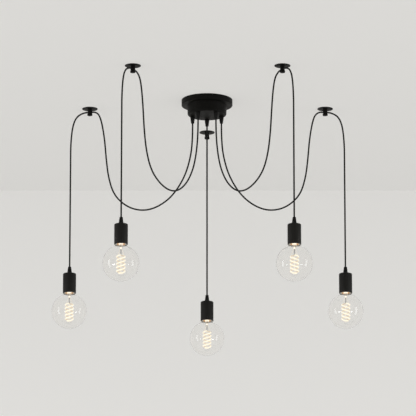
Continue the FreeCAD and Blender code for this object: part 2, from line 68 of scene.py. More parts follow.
# %% Set the camera
LENS = 346.15
SENSOR = 36.0
FAR_CLIP = 100.0
CAMERA_PLACE = (0.0035, -13.581, -3.974)
CAMERA_TILT = math.radians(14.768)

lens = bpy.data.cameras.new("photo_camera")
lens.lens = LENS
lens.sensor_width = SENSOR
lens.clip_end = FAR_CLIP
camera = bpy.data.objects.new("photo_camera", lens)
camera.location = CAMERA_PLACE
camera.rotation_euler = (math.pi / 2 + CAMERA_TILT, 0, 0)
bpy.context.scene.collection.objects.link(camera)
bpy.context.scene.camera = camera
print("the camera stands at", CAMERA_PLACE, "with a lens of", LENS, "mm")

# %% [markdown]
# ## Finding the five pendants
# Each cup's box in the frame gives the axis that its lamp hangs on, and the direction from the
# canopy to that axis is the way its cord runs. The pendants are alike, so every lamp piece is modelled
# once about the Z axis and then copied to these places.

# %% Read the places
NAMES = ("back", "left", "front_left", "front_right", "right")
DROP_REACH = 70 * MM
GRIP_RING_RADIUS = 53.5 * MM
GRIP_LENGTH = 25 * MM
BULB_RADIUS = 62.5 * MM


def polar(radius, angle):
    """The plan position at a radius and an angle."""
    return Vector((radius * math.cos(angle), radius * math.sin(angle), 0))


def place_of(name, order):
    """The axis, the hook, the grip and the heights of one pendant."""
    low, high = (Vector(corner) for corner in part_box(f"socket_cup_{name}"))
    axis = (low + high) / 2
    axis.z = 0
    angle = math.atan2(axis.y, axis.x)
    globe_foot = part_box(f"bulb_glass_{name}")[0][2]
    return {
        "name": name,
        "angle": angle,
        "outwards": polar(1, angle),
        "axis": axis,
        "hook": axis - polar(DROP_REACH, angle),
        "grip": polar(GRIP_RING_RADIUS, math.tau * (1 / 4 + order / len(NAMES))),
        "cup_top": high.z,
        "globe": globe_foot + BULB_RADIUS,
    }


PLACES = [place_of(name, order) for order, name in enumerate(NAMES)]
CUP_TO_GLOBE = PLACES[0]["cup_top"] - PLACES[0]["globe"]
for place in PLACES:
    print(place["name"], "cup top", round(place["cup_top"], 3), "globe", round(place["globe"], 3))


# %% [markdown]
# ## Tools of the bench
# Most pieces here are turned on a lathe or spun from sheet, so one helper spins a profile round the
# Z axis. A bevel on the sharp rings then does what a tumbler or a spray coat does to a real edge.

# %% Turning and softening
ROUND_STEPS = 64
SHARP = math.radians(25)
SMOOTH = math.radians(32)
MERGE = 1e-6


def spun(profile, steps=ROUND_STEPS):
    """A bmesh turned about Z from a list of (radius, height) points, closed where it meets the axis."""
    bm = bmesh.new()
    points = [bm.verts.new((radius, 0, height)) for radius, height in profile]
    lines = [bm.edges.new(pair) for pair in zip(points, points[1:])]
    bmesh.ops.spin(
        bm, geom=points + lines, cent=(0, 0, 0), axis=(0, 0, 1), angle=math.tau, steps=steps, use_merge=True
    )
    bmesh.ops.remove_doubles(bm, verts=bm.verts, dist=MERGE)
    bmesh.ops.recalc_face_normals(bm, faces=bm.faces)
    return bm


def soften(bm, offset, segments, chosen):
    """Rounds those of the sharp edges that a test on their middle chooses."""
    edges = []
    for edge in bm.edges:
        middle = (edge.verts[0].co + edge.verts[1].co) / 2
        if edge.is_manifold and edge.calc_face_angle() > SHARP and chosen(middle):
            edges.append(edge)
    bmesh.ops.bevel(
        bm, geom=edges, offset=offset, segments=segments, profile=0.5, affect="EDGES",
        material=-1, clamp_overlap=True,
    )
    return bm


# %% [markdown]
# A finished bmesh becomes a piece of the lamp in two steps: a mesh, moved to its place, and an object
# that rides on a body of the frame and stands for a node of it. The object itself stays at the origin,
# so that a grain on Object coordinates keeps its place. What is alike on every lamp is modelled once
# and copied.

# %% Pieces on their bodies
def mesh_of(bm, name, matrix=None):
    """A mesh with smooth faces and sharp edges by angle, from a copy of the bmesh moved by the matrix."""
    copy = bm.copy()
    if matrix is not None:
        bmesh.ops.transform(copy, matrix=matrix, verts=copy.verts)
    for face in copy.faces:
        face.smooth = True
    mesh = bpy.data.meshes.new(name)
    copy.to_mesh(mesh)
    copy.free()
    mesh.set_sharp_from_angle(angle=SMOOTH)
    return mesh


def add_piece(name, mesh, body, slot, material, *nodes):
    """Puts a mesh in the scene as a piece that rides on a body and stands for the named nodes."""
    mesh.materials.clear()
    mesh.materials.append(material)
    piece = bpy.data.objects.new(name, mesh)
    bpy.context.scene.collection.objects.link(piece)
    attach(piece, body)
    if nodes:
        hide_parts(*nodes)
    return piece


def on_ceiling(name, model, slot, material, node):
    """Puts a model on the body that is fixed to the ceiling, and uses the model up."""
    add_piece(name, mesh_of(model, name), "ceiling_fixture", slot, material, node)
    print(name, "has", len(model.faces), "faces")
    model.free()


def on_lamps(piece, model, move, body, slot, material, node=None, places=PLACES):
    """Copies a model to the lamps, where it rides on each lamp's body, and uses the model up."""
    for place in places:
        name = f"{piece}_{place['name']}"
        replaced = [f"{node}_{place['name']}"] if node else []
        mesh = mesh_of(model, name, move(place))
        add_piece(name, mesh, f"{body}_{place['name']}", slot, material, *replaced)
    print(piece, "has", len(model.faces), "faces on each of", len(places), "lamps")
    model.free()


def at_cup(place):
    """The move from the lathe to a pendant's cup, whose top is the height zero there."""
    return Matrix.Translation(place["axis"] + UP * place["cup_top"]) @ Matrix.Rotation(place["angle"], 4, "Z")


def at_globe(place):
    """The move from the lathe to a pendant's globe, whose centre is the height zero there."""
    return Matrix.Translation(place["axis"] + UP * place["globe"])


# %% [markdown]
# Holes are cut with a boolean modifier, which needs objects. So the bmesh and its cutters become
# objects for a moment, and the result comes back as a bmesh. Several bmeshes are joined through a mesh
# in the same way.

# %% Cutting and joining
BAR_STEPS = 32


def carved(bm, *cutters):
    """The bmesh less each of the closed cutters, which are used up."""
    scene = bpy.context.scene
    body = bpy.data.objects.new("carved_body", bpy.data.meshes.new("carved_body"))
    scene.collection.objects.link(body)
    bm.to_mesh(body.data)
    for cutter in cutters:
        tool = bpy.data.objects.new("carving_tool", bpy.data.meshes.new("carving_tool"))
        scene.collection.objects.link(tool)
        cutter.to_mesh(tool.data)
        cutter.free()
        cut = body.modifiers.new("Cut", "BOOLEAN")
        cut.object = tool
        cut.solver = "EXACT"
        result = bpy.data.meshes.new_from_object(body.evaluated_get(bpy.context.evaluated_depsgraph_get()))
        body.modifiers.clear()
        body.data = result
        bpy.data.objects.remove(tool)
    bm.clear()
    bm.from_mesh(body.data)
    bpy.data.objects.remove(body)
    return bm


def round_bar(start, end, radius, steps=BAR_STEPS):
    """A closed round bar from one point to another."""
    start, end = Vector(start), Vector(end)
    axis = end - start
    bm = bmesh.new()
    bmesh.ops.create_cone(
        bm, cap_ends=True, segments=steps, radius1=radius, radius2=radius, depth=axis.length,
        matrix=Matrix.Translation((start + end) / 2) @ axis.to_track_quat("Z", "Y").to_matrix().to_4x4(),
    )
    return bm


def take_in(whole, bm, matrix=None):
    """Adds a copy of a bmesh to another one, moved by the matrix."""
    copy = bpy.data.meshes.new("copy")
    bm.to_mesh(copy)
    if matrix is not None:
        copy.transform(matrix)
    whole.from_mesh(copy)
    bpy.data.meshes.remove(copy)


def joined(bm, matrices):
    """One bmesh with a copy of the given one at each matrix."""
    whole = bmesh.new()
    for matrix in matrices:
        take_in(whole, bm, matrix)
    return whole


# %% [markdown]
# ## Finishes
# Every finish is a small set of nodes on Object coordinates, so its grain has a real size: the noise
# scale is in grains per metre. Numbers that are the same all over a surface sit on the shader itself.
# A helper starts each material, and the others let one noise move its colour, its gloss or its bump,
# because no real surface has exactly one tone. A Mix node has sockets for numbers, vectors and colours
# under the same names, so the colour ones are picked by their order.

# %% Start a material and give it a grain
NOISE_LOW = 0.3
NOISE_HIGH = 0.7
MIX_A = 6
MIX_B = 7
MIX_RESULT = 2


def new_finish(name, **sockets):
    """A material with its principled shader, whose plain sockets are set by name."""
    material = bpy.data.materials.new(name)
    material.use_nodes = True
    shader = material.node_tree.nodes["Principled BSDF"]
    for socket, value in sockets.items():
        shader.inputs[socket.replace("_", " ")].default_value = value
    return material, shader


def add_node(material, kind, **values):
    """A node of a kind, with its input sockets set by name."""
    node = material.node_tree.nodes.new(kind)
    for socket, value in values.items():
        node.inputs[socket.replace("_", " ")].default_value = value
    return node


def noise(material, scale, detail, stretch=None):
    """A noise on Object coordinates, in grains per metre, stretched if three factors are given."""
    links = material.node_tree.links
    place = add_node(material, "ShaderNodeTexCoord")
    grain = add_node(material, "ShaderNodeTexNoise", Scale=scale, Detail=detail)
    if stretch is None:
        links.new(place.outputs["Object"], grain.inputs["Vector"])
    else:
        mapping = add_node(material, "ShaderNodeMapping", Scale=stretch)
        links.new(place.outputs["Object"], mapping.inputs["Vector"])
        links.new(mapping.outputs["Vector"], grain.inputs["Vector"])
    return grain


def bump(material, shader, height, strength, distance):
    """Raises the surface by a height output."""
    node = add_node(material, "ShaderNodeBump", Strength=strength, Distance=distance)
    material.node_tree.links.new(height, node.inputs["Height"])
    material.node_tree.links.new(node.outputs["Normal"], shader.inputs["Normal"])


def uneven_gloss(material, shader, grain, low, high):
    """Lets a noise move the roughness between two numbers."""
    node = add_node(material, "ShaderNodeMapRange", To_Min=low, To_Max=high)
    node.inputs["From Min"].default_value = NOISE_LOW
    node.inputs["From Max"].default_value = NOISE_HIGH
    material.node_tree.links.new(grain.outputs[0], node.inputs["Value"])
    material.node_tree.links.new(node.outputs["Result"], shader.inputs["Roughness"])


def blend_colours(material, source, target, dark, light):
    """Lets an output move a colour socket between two colours."""
    node = material.node_tree.nodes.new("ShaderNodeMix")
    node.data_type = "RGBA"
    for index, colour in ((MIX_A, dark), (MIX_B, light)):
        node.inputs[index].default_value = (*colour, 1)
    material.node_tree.links.new(source, node.inputs["Factor"])
    material.node_tree.links.new(node.outputs[MIX_RESULT], target)


def two_tones(material, shader, grain, dark, light):
    """Lets a noise move the finish's own colour between two tones."""
    blend_colours(material, grain.outputs[0], shader.inputs["Base Color"], dark, light)


# %% [markdown]
# The filament lights the cup's mouth and the glass stem next to it. The lamp's own light would need
# thousands of samples to show this without noise, so the skins near the filament keep a number from 0
# to 1 in an attribute, and the finish shines by that much.

# %% Light of the filament on a finish
LIT = "lit"
WARM_LIGHT = (1.0, 0.90, 0.74)
RIM_GLOW = (0.80, 0.42, 0.16)
NEAR_GLOW = 0.35


def lit_by_filament(material, shader, colour, strength):
    """Lets a finish shine where a skin's lit layer says that the filament's light falls on it."""
    lit = add_node(material, "ShaderNodeAttribute")
    lit.attribute_name = LIT
    blend_colours(material, lit.outputs["Fac"], shader.inputs["Emission Color"], (0, 0, 0), colour)
    shader.inputs["Emission Strength"].default_value = strength


# %% [markdown]
# The canopy, the hooks and the cups carry a black powder coat. Baked powder is never quite flat: it
# keeps a soft orange-peel of about a millimetre, and a slightly uneven gloss. The cups hang lower and
# catch more light, so their copy of the coat is painted a shade paler: painted light, not a paler coat.
# The cup's lower lip also gets a painted glow of the filament's light. The grips are moulded nylon with a
# finer, duller skin.

# %% Black finishes
def powder_coat(name, dark, light, gloss):
    """Satin black powder coat with a fine orange-peel, and a painted glow of the filament where a skin's lit
    layer is set.
    """
    material, shader = new_finish(name, Specular_IOR_Level=gloss)
    grain = noise(material, 900, 3)
    patches = noise(material, 25, 2)
    two_tones(material, shader, patches, dark, light)
    uneven_gloss(material, shader, patches, 0.44, 0.56)
    bump(material, shader, grain.outputs[0], 0.25, 0.0002)
    lit_by_filament(material, shader, WARM_LIGHT, 0.5)
    return material


def moulded_black():
    """Moulded nylon with a fine spark-eroded skin."""
    material, shader = new_finish("moulded_black", Specular_IOR_Level=0.12)
    grain = noise(material, 2600, 2)
    flow = noise(material, 60, 2, (1, 1, 0.3))
    two_tones(material, shader, flow, (0.0050, 0.0050, 0.0048), (0.0075, 0.0073, 0.0068))
    uneven_gloss(material, shader, flow, 0.46, 0.58)
    bump(material, shader, grain.outputs[0], 0.3, 0.0001)
    return material


POWDER_COAT = powder_coat("black_powder_coat", (0.0046, 0.0043, 0.0035), (0.0058, 0.0054, 0.0045), 0.07)
# The cups' coat is the same powder as the canopy's, painted a shade paler for the light the cups catch.
CUP_COAT_PAINTED_PALER = powder_coat("cup_powder_coat_painted_paler", (0.0080, 0.0074, 0.0060), (0.0096, 0.0089, 0.0073), 0.16)
MOULDED = moulded_black()


# %% [markdown]
# The thin metal inside the canopy is zinc plated. The lampholder's shell is brass and the bulb's cap is
# plated, and both glow faintly, because the filament shines into them.

# %% Bare metals
def zinc_plate():
    """Zinc plated steel: a grey metal with cloudy patches and a rolled grain."""
    material, shader = new_finish("zinc_plate", Metallic=1.0)
    clouds = noise(material, 90, 4)
    rolled = noise(material, 300, 2, (0.15, 4, 4))
    two_tones(material, shader, clouds, (0.44, 0.45, 0.46), (0.66, 0.66, 0.64))
    uneven_gloss(material, shader, clouds, 0.28, 0.46)
    bump(material, shader, rolled.outputs[0], 0.2, 0.0001)
    return material


def brass():
    """Bright brass sheet, warmer where it has toned."""
    material, shader = new_finish("screw_shell_brass", Metallic=1.0, Emission_Strength=NEAR_GLOW)
    shader.inputs["Emission Color"].default_value = (*RIM_GLOW, 1)
    tone = noise(material, 140, 3)
    two_tones(material, shader, tone, (0.62, 0.36, 0.13), (0.84, 0.60, 0.30))
    uneven_gloss(material, shader, tone, 0.22, 0.40)
    return material


def cap_metal():
    """Plated bulb cap with rubbed threads."""
    material, shader = new_finish("bulb_cap_metal", Metallic=1.0, Emission_Strength=NEAR_GLOW)
    shader.inputs["Emission Color"].default_value = (*RIM_GLOW, 1)
    rub = noise(material, 180, 3, (1, 1, 3))
    two_tones(material, shader, rub, (0.60, 0.47, 0.30), (0.86, 0.75, 0.58))
    uneven_gloss(material, shader, rub, 0.20, 0.38)
    return material


def lead_metal():
    """Nickel wire of the bulb's leads, lit by the filament next to it."""
    material, shader = new_finish("lead_wire_nickel", Metallic=1.0, Emission_Strength=NEAR_GLOW)
    shader.inputs["Emission Color"].default_value = (*WARM_LIGHT, 1)
    drawn = noise(material, 400, 2, (1, 1, 0.2))
    two_tones(material, shader, drawn, (0.70, 0.66, 0.58), (0.82, 0.78, 0.70))
    uneven_gloss(material, shader, drawn, 0.25, 0.4)
    return material


ZINC = zinc_plate()
BRASS = brass()
CAP_METAL = cap_metal()
LEAD_METAL = lead_metal()


# %% [markdown]
# The plastics that do the electrical work are a dark thermoset round the bulb's cap, which stands the
# heat, a waxy nylon for the terminal block and soft grey sleeves on the cords' stripped ends.

# %% Insulators
def phenolic():
    """Dark thermoset of the lampholder, with a faint flow and a dull shine."""
    material, shader = new_finish("lampholder_thermoset", Specular_IOR_Level=0.35)
    flow = noise(material, 80, 3, (1, 1, 0.4))
    two_tones(material, shader, flow, (0.010, 0.009, 0.008), (0.020, 0.018, 0.015))
    uneven_gloss(material, shader, flow, 0.35, 0.5)
    lit_by_filament(material, shader, WARM_LIGHT, NEAR_GLOW)
    return material


def core_sleeve():
    """Grey PVC sleeve of the stripped cord ends."""
    material, shader = new_finish("stripped_end_sleeve", Specular_IOR_Level=0.4)
    clouds = noise(material, 200, 2)
    two_tones(material, shader, clouds, (0.10, 0.10, 0.10), (0.14, 0.14, 0.14))
    uneven_gloss(material, shader, clouds, 0.4, 0.55)
    return material


def block_plastic():
    """Off-white nylon of the terminal block, with a waxy depth."""
    material, shader = new_finish("terminal_block_plastic", Roughness=0.45, Subsurface_Weight=0.08)
    shader.inputs["Subsurface Radius"].default_value = (2 * MM, 2 * MM, 2 * MM)
    clouds = noise(material, 120, 2)
    two_tones(material, shader, clouds, (0.66, 0.65, 0.60), (0.76, 0.75, 0.70))
    grain = noise(material, 2000, 2)
    bump(material, shader, grain.outputs[0], 0.15, 0.0001)
    return material


PHENOLIC = phenolic()
SLEEVE = core_sleeve()
BLOCK_PLASTIC = block_plastic()


# %% [markdown]
# The globe is clear glass, which bends the light at both of its surfaces. The stem inside it is thick
# and milky. The filament is a strip of phosphor: each point of its skin keeps how far it faces
# outwards, and shines warm white there and tan on the inner side, which gives the spiral its depth.

# %% Glass and glow
OUTWARD = "outward"
MILKY_SHADE = 0.85


def clear_glass():
    """Blown clear glass, smooth and without tint."""
    material, shader = new_finish("clear_glass", Roughness=0.0, IOR=1.47, Transmission_Weight=1.0)
    drawn = noise(material, 30, 1, (1, 1, 0.4))
    two_tones(material, shader, drawn, (0.980, 0.976, 0.968), (0.988, 0.985, 0.979))
    return material


def sealed_glass(name, colour, glow):
    """Thick glass round the bulb's metal, milky with bubbles and lit from within by the filament."""
    material, shader = new_finish(name, Roughness=0.3, IOR=1.47, Transmission_Weight=0.35)
    lit_by_filament(material, shader, WARM_LIGHT, glow)
    bubbles = noise(material, 700, 2)
    darker = tuple(channel * MILKY_SHADE for channel in colour)
    two_tones(material, shader, bubbles, darker, colour)
    return material


def glowing_strip():
    """Phosphor strip: warm white on the side that faces outwards, a duller tan on the inner side."""
    material, shader = new_finish("glowing_strip", Roughness=0.5, Emission_Strength=1.0)
    patches = noise(material, 220, 2)
    two_tones(material, shader, patches, (0.20, 0.14, 0.07), (0.26, 0.19, 0.10))
    outward = add_node(material, "ShaderNodeAttribute")
    outward.attribute_name = OUTWARD
    glow = shader.inputs["Emission Color"]
    blend_colours(material, outward.outputs["Fac"], glow, (0.60, 0.52, 0.40), (1.0, 0.95, 0.78))
    return material


GLASS = clear_glass()
STEM_GLASS = sealed_glass("stem_glass", (0.55, 0.54, 0.52), 0.9)
GLOW = glowing_strip()


# %% [markdown]
# The cord wears a braided textile sleeve. A braid is two families of threads that wind opposite ways
# and pass over and under each other, so two slanting waves are multiplied on the tube's own UV map,
# where U runs along the cord and V around it. The counts keep each thread near a millimetre wide.

# %% Braided sleeve
THREADS_AROUND = 12
BRAIDS_PER_METRE = 330
EVEN_HEIGHT = 0.5


def calculate(tree, operation, *values):
    """A math node's output. Each value is a number or the output of another node."""
    node = tree.nodes.new("ShaderNodeMath")
    node.operation = operation
    for socket, value in zip(node.inputs, values):
        if isinstance(value, bpy.types.NodeSocket):
            tree.links.new(value, socket)
        else:
            socket.default_value = value
    return node.outputs[0]


def braided_sleeve(length):
    """Black braid for a cord of a length, bumped, with painted shade between the threads and painted
    highlights on their tops.
    """
    material, shader = new_finish("braided_sleeve", Roughness=0.75, Specular_IOR_Level=0.18)
    shader.inputs["Sheen Weight"].default_value = 0.03
    tree = material.node_tree
    uv = add_node(material, "ShaderNodeUVMap")
    split = add_node(material, "ShaderNodeSeparateXYZ")
    tree.links.new(uv.outputs["UV"], split.inputs["Vector"])
    waves = []
    for way in (1, -1):
        slant = way * math.tau * BRAIDS_PER_METRE * length / 2
        along = calculate(tree, "MULTIPLY", split.outputs["X"], slant)
        around = calculate(tree, "MULTIPLY_ADD", split.outputs["Y"], math.tau * THREADS_AROUND / 2, along)
        waves.append(calculate(tree, "SINE", around))
    thread_height_and_painted_shade = calculate(tree, "MULTIPLY_ADD", *waves, EVEN_HEIGHT)
    # Painted shade and highlight: the colour follows the threads' height, darker in the hollows and lighter
    # on the tops.
    low, high = (0.0035, 0.0035, 0.0034), (0.0100, 0.0098, 0.0092)
    blend_colours(material, thread_height_and_painted_shade, shader.inputs["Base Color"], low, high)
    bump(material, shader, thread_height_and_painted_shade, 0.6, 0.0002)
    return material


# %% [markdown]
# ## The cords
# A hanging cord is as long as it is: 1.47 to 1.49 m here, from the canopy's grip to the cup's grip.
# Its route is a short list of points chosen along the photograph's curve. They are the control
# points of one smooth NURBS line, which cuts inside each corner as a supple cord does. In a swag, a
# point is its distance from the grip's axis, in the upright plane to the hook, and its depth below
# the ceiling. After the hook the distance is counted from the hook, straight outwards.

# %% Routes of the five cords
CORD_RADIUS = 2.8 * MM
HOOK_CORD_DEPTH = 13.6 * MM
SWAG_LEVEL_RUN = 22 * MM
BACK_SWAG = (
    (0, 0.081), (0, 0.142), (0.008, 0.208), (0.029, 0.278), (0.070, 0.343), (0.121, 0.381), (0.172, 0.391),
    (0.225, 0.374), (0.271, 0.327), (0.291, 0.261), (0.299, 0.191), (0.305, 0.120), (0.314, 0.060),
    (0.323, 0.027),
)
SIDE_SWAG = (
    (0, 0.081), (0, 0.142), (0.008, 0.208), (0.030, 0.278), (0.074, 0.343), (0.128, 0.379), (0.181, 0.389),
    (0.237, 0.372), (0.286, 0.326), (0.307, 0.261), (0.316, 0.191), (0.322, 0.120), (0.332, 0.060),
    (0.342, 0.027),
)
FRONT_SWAG = (
    (0, 0.081), (0, 0.136), (0.013, 0.215), (0.037, 0.279), (0.081, 0.337), (0.140, 0.377), (0.202, 0.388),
    (0.267, 0.374), (0.320, 0.341), (0.350, 0.284), (0.365, 0.215), (0.373, 0.139), (0.382, 0.075),
    (0.395, 0.030),
)
SWAGS = {
    "back": BACK_SWAG, "left": SIDE_SWAG, "right": SIDE_SWAG,
    "front_left": FRONT_SWAG, "front_right": FRONT_SWAG,
}
DROP = ((0.024, HOOK_CORD_DEPTH), (0.050, 0.027), (0.064, 0.062), (0.070, 0.125), (0.070, 0.188))


def cord_route(place):
    """All control points of one cord, from the canopy grip's tip to the cup grip's tip."""
    along = (place["hook"] - place["grip"]).normalized()
    points = [place["grip"] + along * reach - UP * depth for reach, depth in SWAGS[place["name"]]]
    middle = ((-SWAG_LEVEL_RUN, HOOK_CORD_DEPTH), (0, HOOK_CORD_DEPTH))
    for reach, depth in (*middle, *DROP):
        points.append(place["hook"] + place["outwards"] * reach - UP * depth)
    return [*points, place["axis"] + UP * (place["cup_top"] + GRIP_LENGTH)]


# %% [markdown]
# Blender turns a curve with a round bevel into a tube by itself, with a UV map along and around it.
# The tube is made a mesh, in one piece from the canopy to the cup. The same curve
# without its bevel gives the middle line that the length is measured on.

# %% Smooth line and tube
SPLINE_ORDER = 3
SPLINE_STEPS = 12
TUBE_RESOLUTION = 4


def smooth_curve(name, points, radius):
    """A curve object on a second degree NURBS line inside the control points' hull."""
    data = bpy.data.curves.new(name, "CURVE")
    data.dimensions = "3D"
    data.bevel_depth = radius
    data.bevel_resolution = TUBE_RESOLUTION
    data.use_fill_caps = True
    line = data.splines.new("NURBS")
    line.points.add(len(points) - 1)
    for control, point in zip(line.points, points):
        control.co = (*point, 1)
    line.order_u = SPLINE_ORDER
    line.use_endpoint_u = True
    line.resolution_u = SPLINE_STEPS
    return bpy.data.objects.new(name, data)


def tube_along(name, points, radius):
    """The tube's mesh and the points of its middle line."""
    curve = smooth_curve(name, points, radius)
    tube = bpy.data.meshes.new_from_object(curve)
    curve.data.bevel_depth = 0
    line = bpy.data.meshes.new_from_object(curve)
    path = [vertex.co.copy() for vertex in line.vertices]
    bpy.data.meshes.remove(line)
    bpy.data.curves.remove(curve.data)
    tube.name = name
    for face in tube.polygons:
        face.use_smooth = True
    return tube, path


def hang_cord(place):
    """One cord, from the canopy over its hook to the cup."""
    name = place["name"]
    route = cord_route(place)
    tube, path = tube_along(f"cord_{name}", route, CORD_RADIUS)
    measured = sum((b - a).length for a, b in zip(path, path[1:]))
    tube.materials.append(braided_sleeve(measured))
    cord = bpy.data.objects.new(f"cord_{name}", tube)
    bpy.context.scene.collection.objects.link(cord)
    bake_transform(cord)
    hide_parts(f"swag_cord_{name}", f"drop_cord_{name}")


for place in PLACES:
    hang_cord(place)

# %% [markdown]
# ## The canopy
# The canopy is one pressing in two tiers: a wide rim that hides the ceiling screws and a drum that
# carries the cords. Its lower edge is rolled with a generous radius, and the other edges are only as
# round as sheet metal folds. The outside and the inside are one profile, so the wall has its real
# thickness from below and from above.

# %% Spin the canopy
TIER_RADIUS = 90 * MM
TIER_HEIGHT = 20 * MM
DRUM_TOP_RADIUS = 70 * MM
DRUM_FOOT_RADIUS = 68.3 * MM
CANOPY_HEIGHT = 56 * MM
CANOPY_WALL = 1.5 * MM
CANOPY_EDGE_ROUND = 6 * MM
TIER_EDGE_ROUND = 1.2 * MM
SHANK_RADIUS = 5 * MM
SLIP_FIT = 0.1 * MM
SIDE_SCREW_DEPTH = 10 * MM
SIDE_SCREW_RADIUS = 2 * MM
OVERRUN = 5 * MM


def canopy_shell():
    """The pressed shell with its five grip holes and two side screw holes."""
    floor = -CANOPY_HEIGHT + CANOPY_WALL
    profile = [
        (0, -CANOPY_HEIGHT), (DRUM_FOOT_RADIUS, -CANOPY_HEIGHT), (DRUM_TOP_RADIUS, -TIER_HEIGHT),
        (TIER_RADIUS, -TIER_HEIGHT), (TIER_RADIUS, 0), (TIER_RADIUS - CANOPY_WALL, 0),
        (TIER_RADIUS - CANOPY_WALL, -TIER_HEIGHT + CANOPY_WALL),
        (DRUM_TOP_RADIUS - CANOPY_WALL, -TIER_HEIGHT + CANOPY_WALL),
        (DRUM_FOOT_RADIUS - CANOPY_WALL, floor), (0, floor),
    ]
    shell = spun(profile, 2 * ROUND_STEPS)
    soften(shell, CANOPY_EDGE_ROUND, 8, lambda middle: middle.z < -CANOPY_HEIGHT + MERGE)
    soften(shell, CANOPY_EDGE_ROUND - CANOPY_WALL, 6, lambda middle: abs(middle.z - floor) < MERGE)
    tier_foot = -TIER_HEIGHT - MERGE
    soften(shell, TIER_EDGE_ROUND, 3, lambda middle: tier_foot < middle.z < tier_foot + 2 * MERGE)
    holes = []
    for place in PLACES:
        foot = place["grip"] - UP * (CANOPY_HEIGHT + OVERRUN)
        holes.append(round_bar(foot, foot + UP * 2 * OVERRUN, SHANK_RADIUS + SLIP_FIT))
    across = Vector((TIER_RADIUS + OVERRUN, 0, -SIDE_SCREW_DEPTH))
    holes.append(round_bar(across, Vector((-across.x, 0, across.z)), SIDE_SCREW_RADIUS + SLIP_FIT))
    return carved(shell, *holes)


on_ceiling("canopy", canopy_shell(), "black_metal", POWDER_COAT, "canopy_cover")

# %% [markdown]
# ## Ceiling hooks
# A hook is a thin disc with a short post. The cord lies in a cross bore, and a cap screws up under it
# and clamps it. The disc's edge is thin and rounded, and its underside rises a little into the post.
# The post is carved with the bore and with the slot that lets the cord in from below.

# %% Turn the hooks and their clamp caps
HOOK_DISC_RADIUS = 27.5 * MM
HOOK_DISC_THICKNESS = 2 * MM
HOOK_POST_RADIUS = 8 * MM
HOOK_POST_DEPTH = 19 * MM
HOOK_BORE_RADIUS = 5.3 * MM
HOOK_WEB_DEPTH = 4 * MM
HOOK_SCREW_RADIUS = 2.25 * MM
POST_FILLET = 2 * MM
HOOK_DISC_ROUND = HOOK_DISC_THICKNESS * 0.4
TURNED_EDGE = 0.3 * MM
CLAMP_CAP_STEPS = 48
CLAMP_CAP_RADIUS = 9.1 * MM
CLAMP_CAP_HEIGHT = 6.6 * MM
CLAMP_CAP_BEVEL = 1.6 * MM
CLAMP_PLUG_TOP = HOOK_CORD_DEPTH + CORD_RADIUS + SLIP_FIT


def at_hook(place):
    """The move from the lathe to a hook on the ceiling, with its bore along the cord."""
    return Matrix.Translation(place["hook"]) @ Matrix.Rotation(place["angle"], 4, "Z")


def hook_solid():
    """Disc and post in one, bored for the cord and its screw."""
    profile = [
        (0, 0), (HOOK_DISC_RADIUS, 0), (HOOK_DISC_RADIUS, -HOOK_DISC_THICKNESS),
        (HOOK_POST_RADIUS, -HOOK_DISC_THICKNESS), (HOOK_POST_RADIUS, -HOOK_POST_DEPTH),
        (HOOK_BORE_RADIUS, -HOOK_POST_DEPTH), (HOOK_BORE_RADIUS, -HOOK_WEB_DEPTH), (0, -HOOK_WEB_DEPTH),
    ]
    hook = spun(profile)
    rim = HOOK_DISC_RADIUS - MM
    soften(hook, HOOK_DISC_ROUND, 3, lambda middle: middle.xy.length > rim and middle.z < -MERGE)
    neck = HOOK_POST_RADIUS + MERGE
    low = -HOOK_DISC_THICKNESS
    soften(hook, POST_FILLET, 4, lambda middle: middle.xy.length < neck and abs(middle.z - low) < MERGE)
    soften(hook, TURNED_EDGE, 2, lambda middle: middle.z < -HOOK_POST_DEPTH + MERGE)
    half = Vector((HOOK_POST_RADIUS + OVERRUN, 0, 0))
    cord_high = -UP * HOOK_CORD_DEPTH
    bore = round_bar(cord_high - half, cord_high + half, CORD_RADIUS + SLIP_FIT)
    slot = bmesh.new()
    size = (2 * half.x, 2 * (CORD_RADIUS + SLIP_FIT), HOOK_POST_DEPTH - HOOK_CORD_DEPTH + OVERRUN)
    middle = cord_high - UP * size[2] / 2
    bmesh.ops.create_cube(slot, size=1, matrix=Matrix.Translation(middle) @ Matrix.Diagonal((*size, 1)))
    screw = round_bar(-UP * (HOOK_WEB_DEPTH + OVERRUN), UP * OVERRUN, HOOK_SCREW_RADIUS)
    return carved(hook, bore, slot, screw)


def clamp_cap():
    """The cap with its plug up in the post's bore."""
    top = -HOOK_POST_DEPTH
    foot = top - CLAMP_CAP_HEIGHT
    plug = HOOK_BORE_RADIUS - SLIP_FIT
    profile = [
        (0, -CLAMP_PLUG_TOP), (plug, -CLAMP_PLUG_TOP), (plug, top), (CLAMP_CAP_RADIUS, top),
        (CLAMP_CAP_RADIUS, foot), (0, foot),
    ]
    cap = spun(profile, CLAMP_CAP_STEPS)
    soften(cap, CLAMP_CAP_BEVEL, 4, lambda middle: middle.z < foot + MERGE)
    return soften(cap, TURNED_EDGE, 2, lambda middle: middle.xy.length > CLAMP_CAP_RADIUS - MERGE)


HOOK_MOVES = [at_hook(place) for place in PLACES]
on_ceiling("hooks", joined(hook_solid(), HOOK_MOVES), "black_metal", POWDER_COAT, "ceiling_hooks")
on_ceiling("clamp_caps", joined(clamp_cap(), HOOK_MOVES), "black_metal", POWDER_COAT, "hook_clamp_caps")

# %% [markdown]
# ## Cord grips
# The same moulded strain relief holds the cord under the canopy and on top of every cup: a flat
# collar, a long taper and a rounded lip where the cord comes out. Its threaded shank goes through the
# sheet. Ten are needed, so the grip is turned once with its collar at the height zero.

# %% Mould the grips
GRIP_BASE_RADIUS = 8.2 * MM
GRIP_BASE_HEIGHT = 4 * MM
GRIP_TIP_RADIUS = 5.4 * MM
GRIP_SHANK_LENGTH = 9 * MM
GRIP_LIP_ROUND = 1.2 * MM
GRIP_STEPS = 40
FINE_EDGE = 0.4 * MM


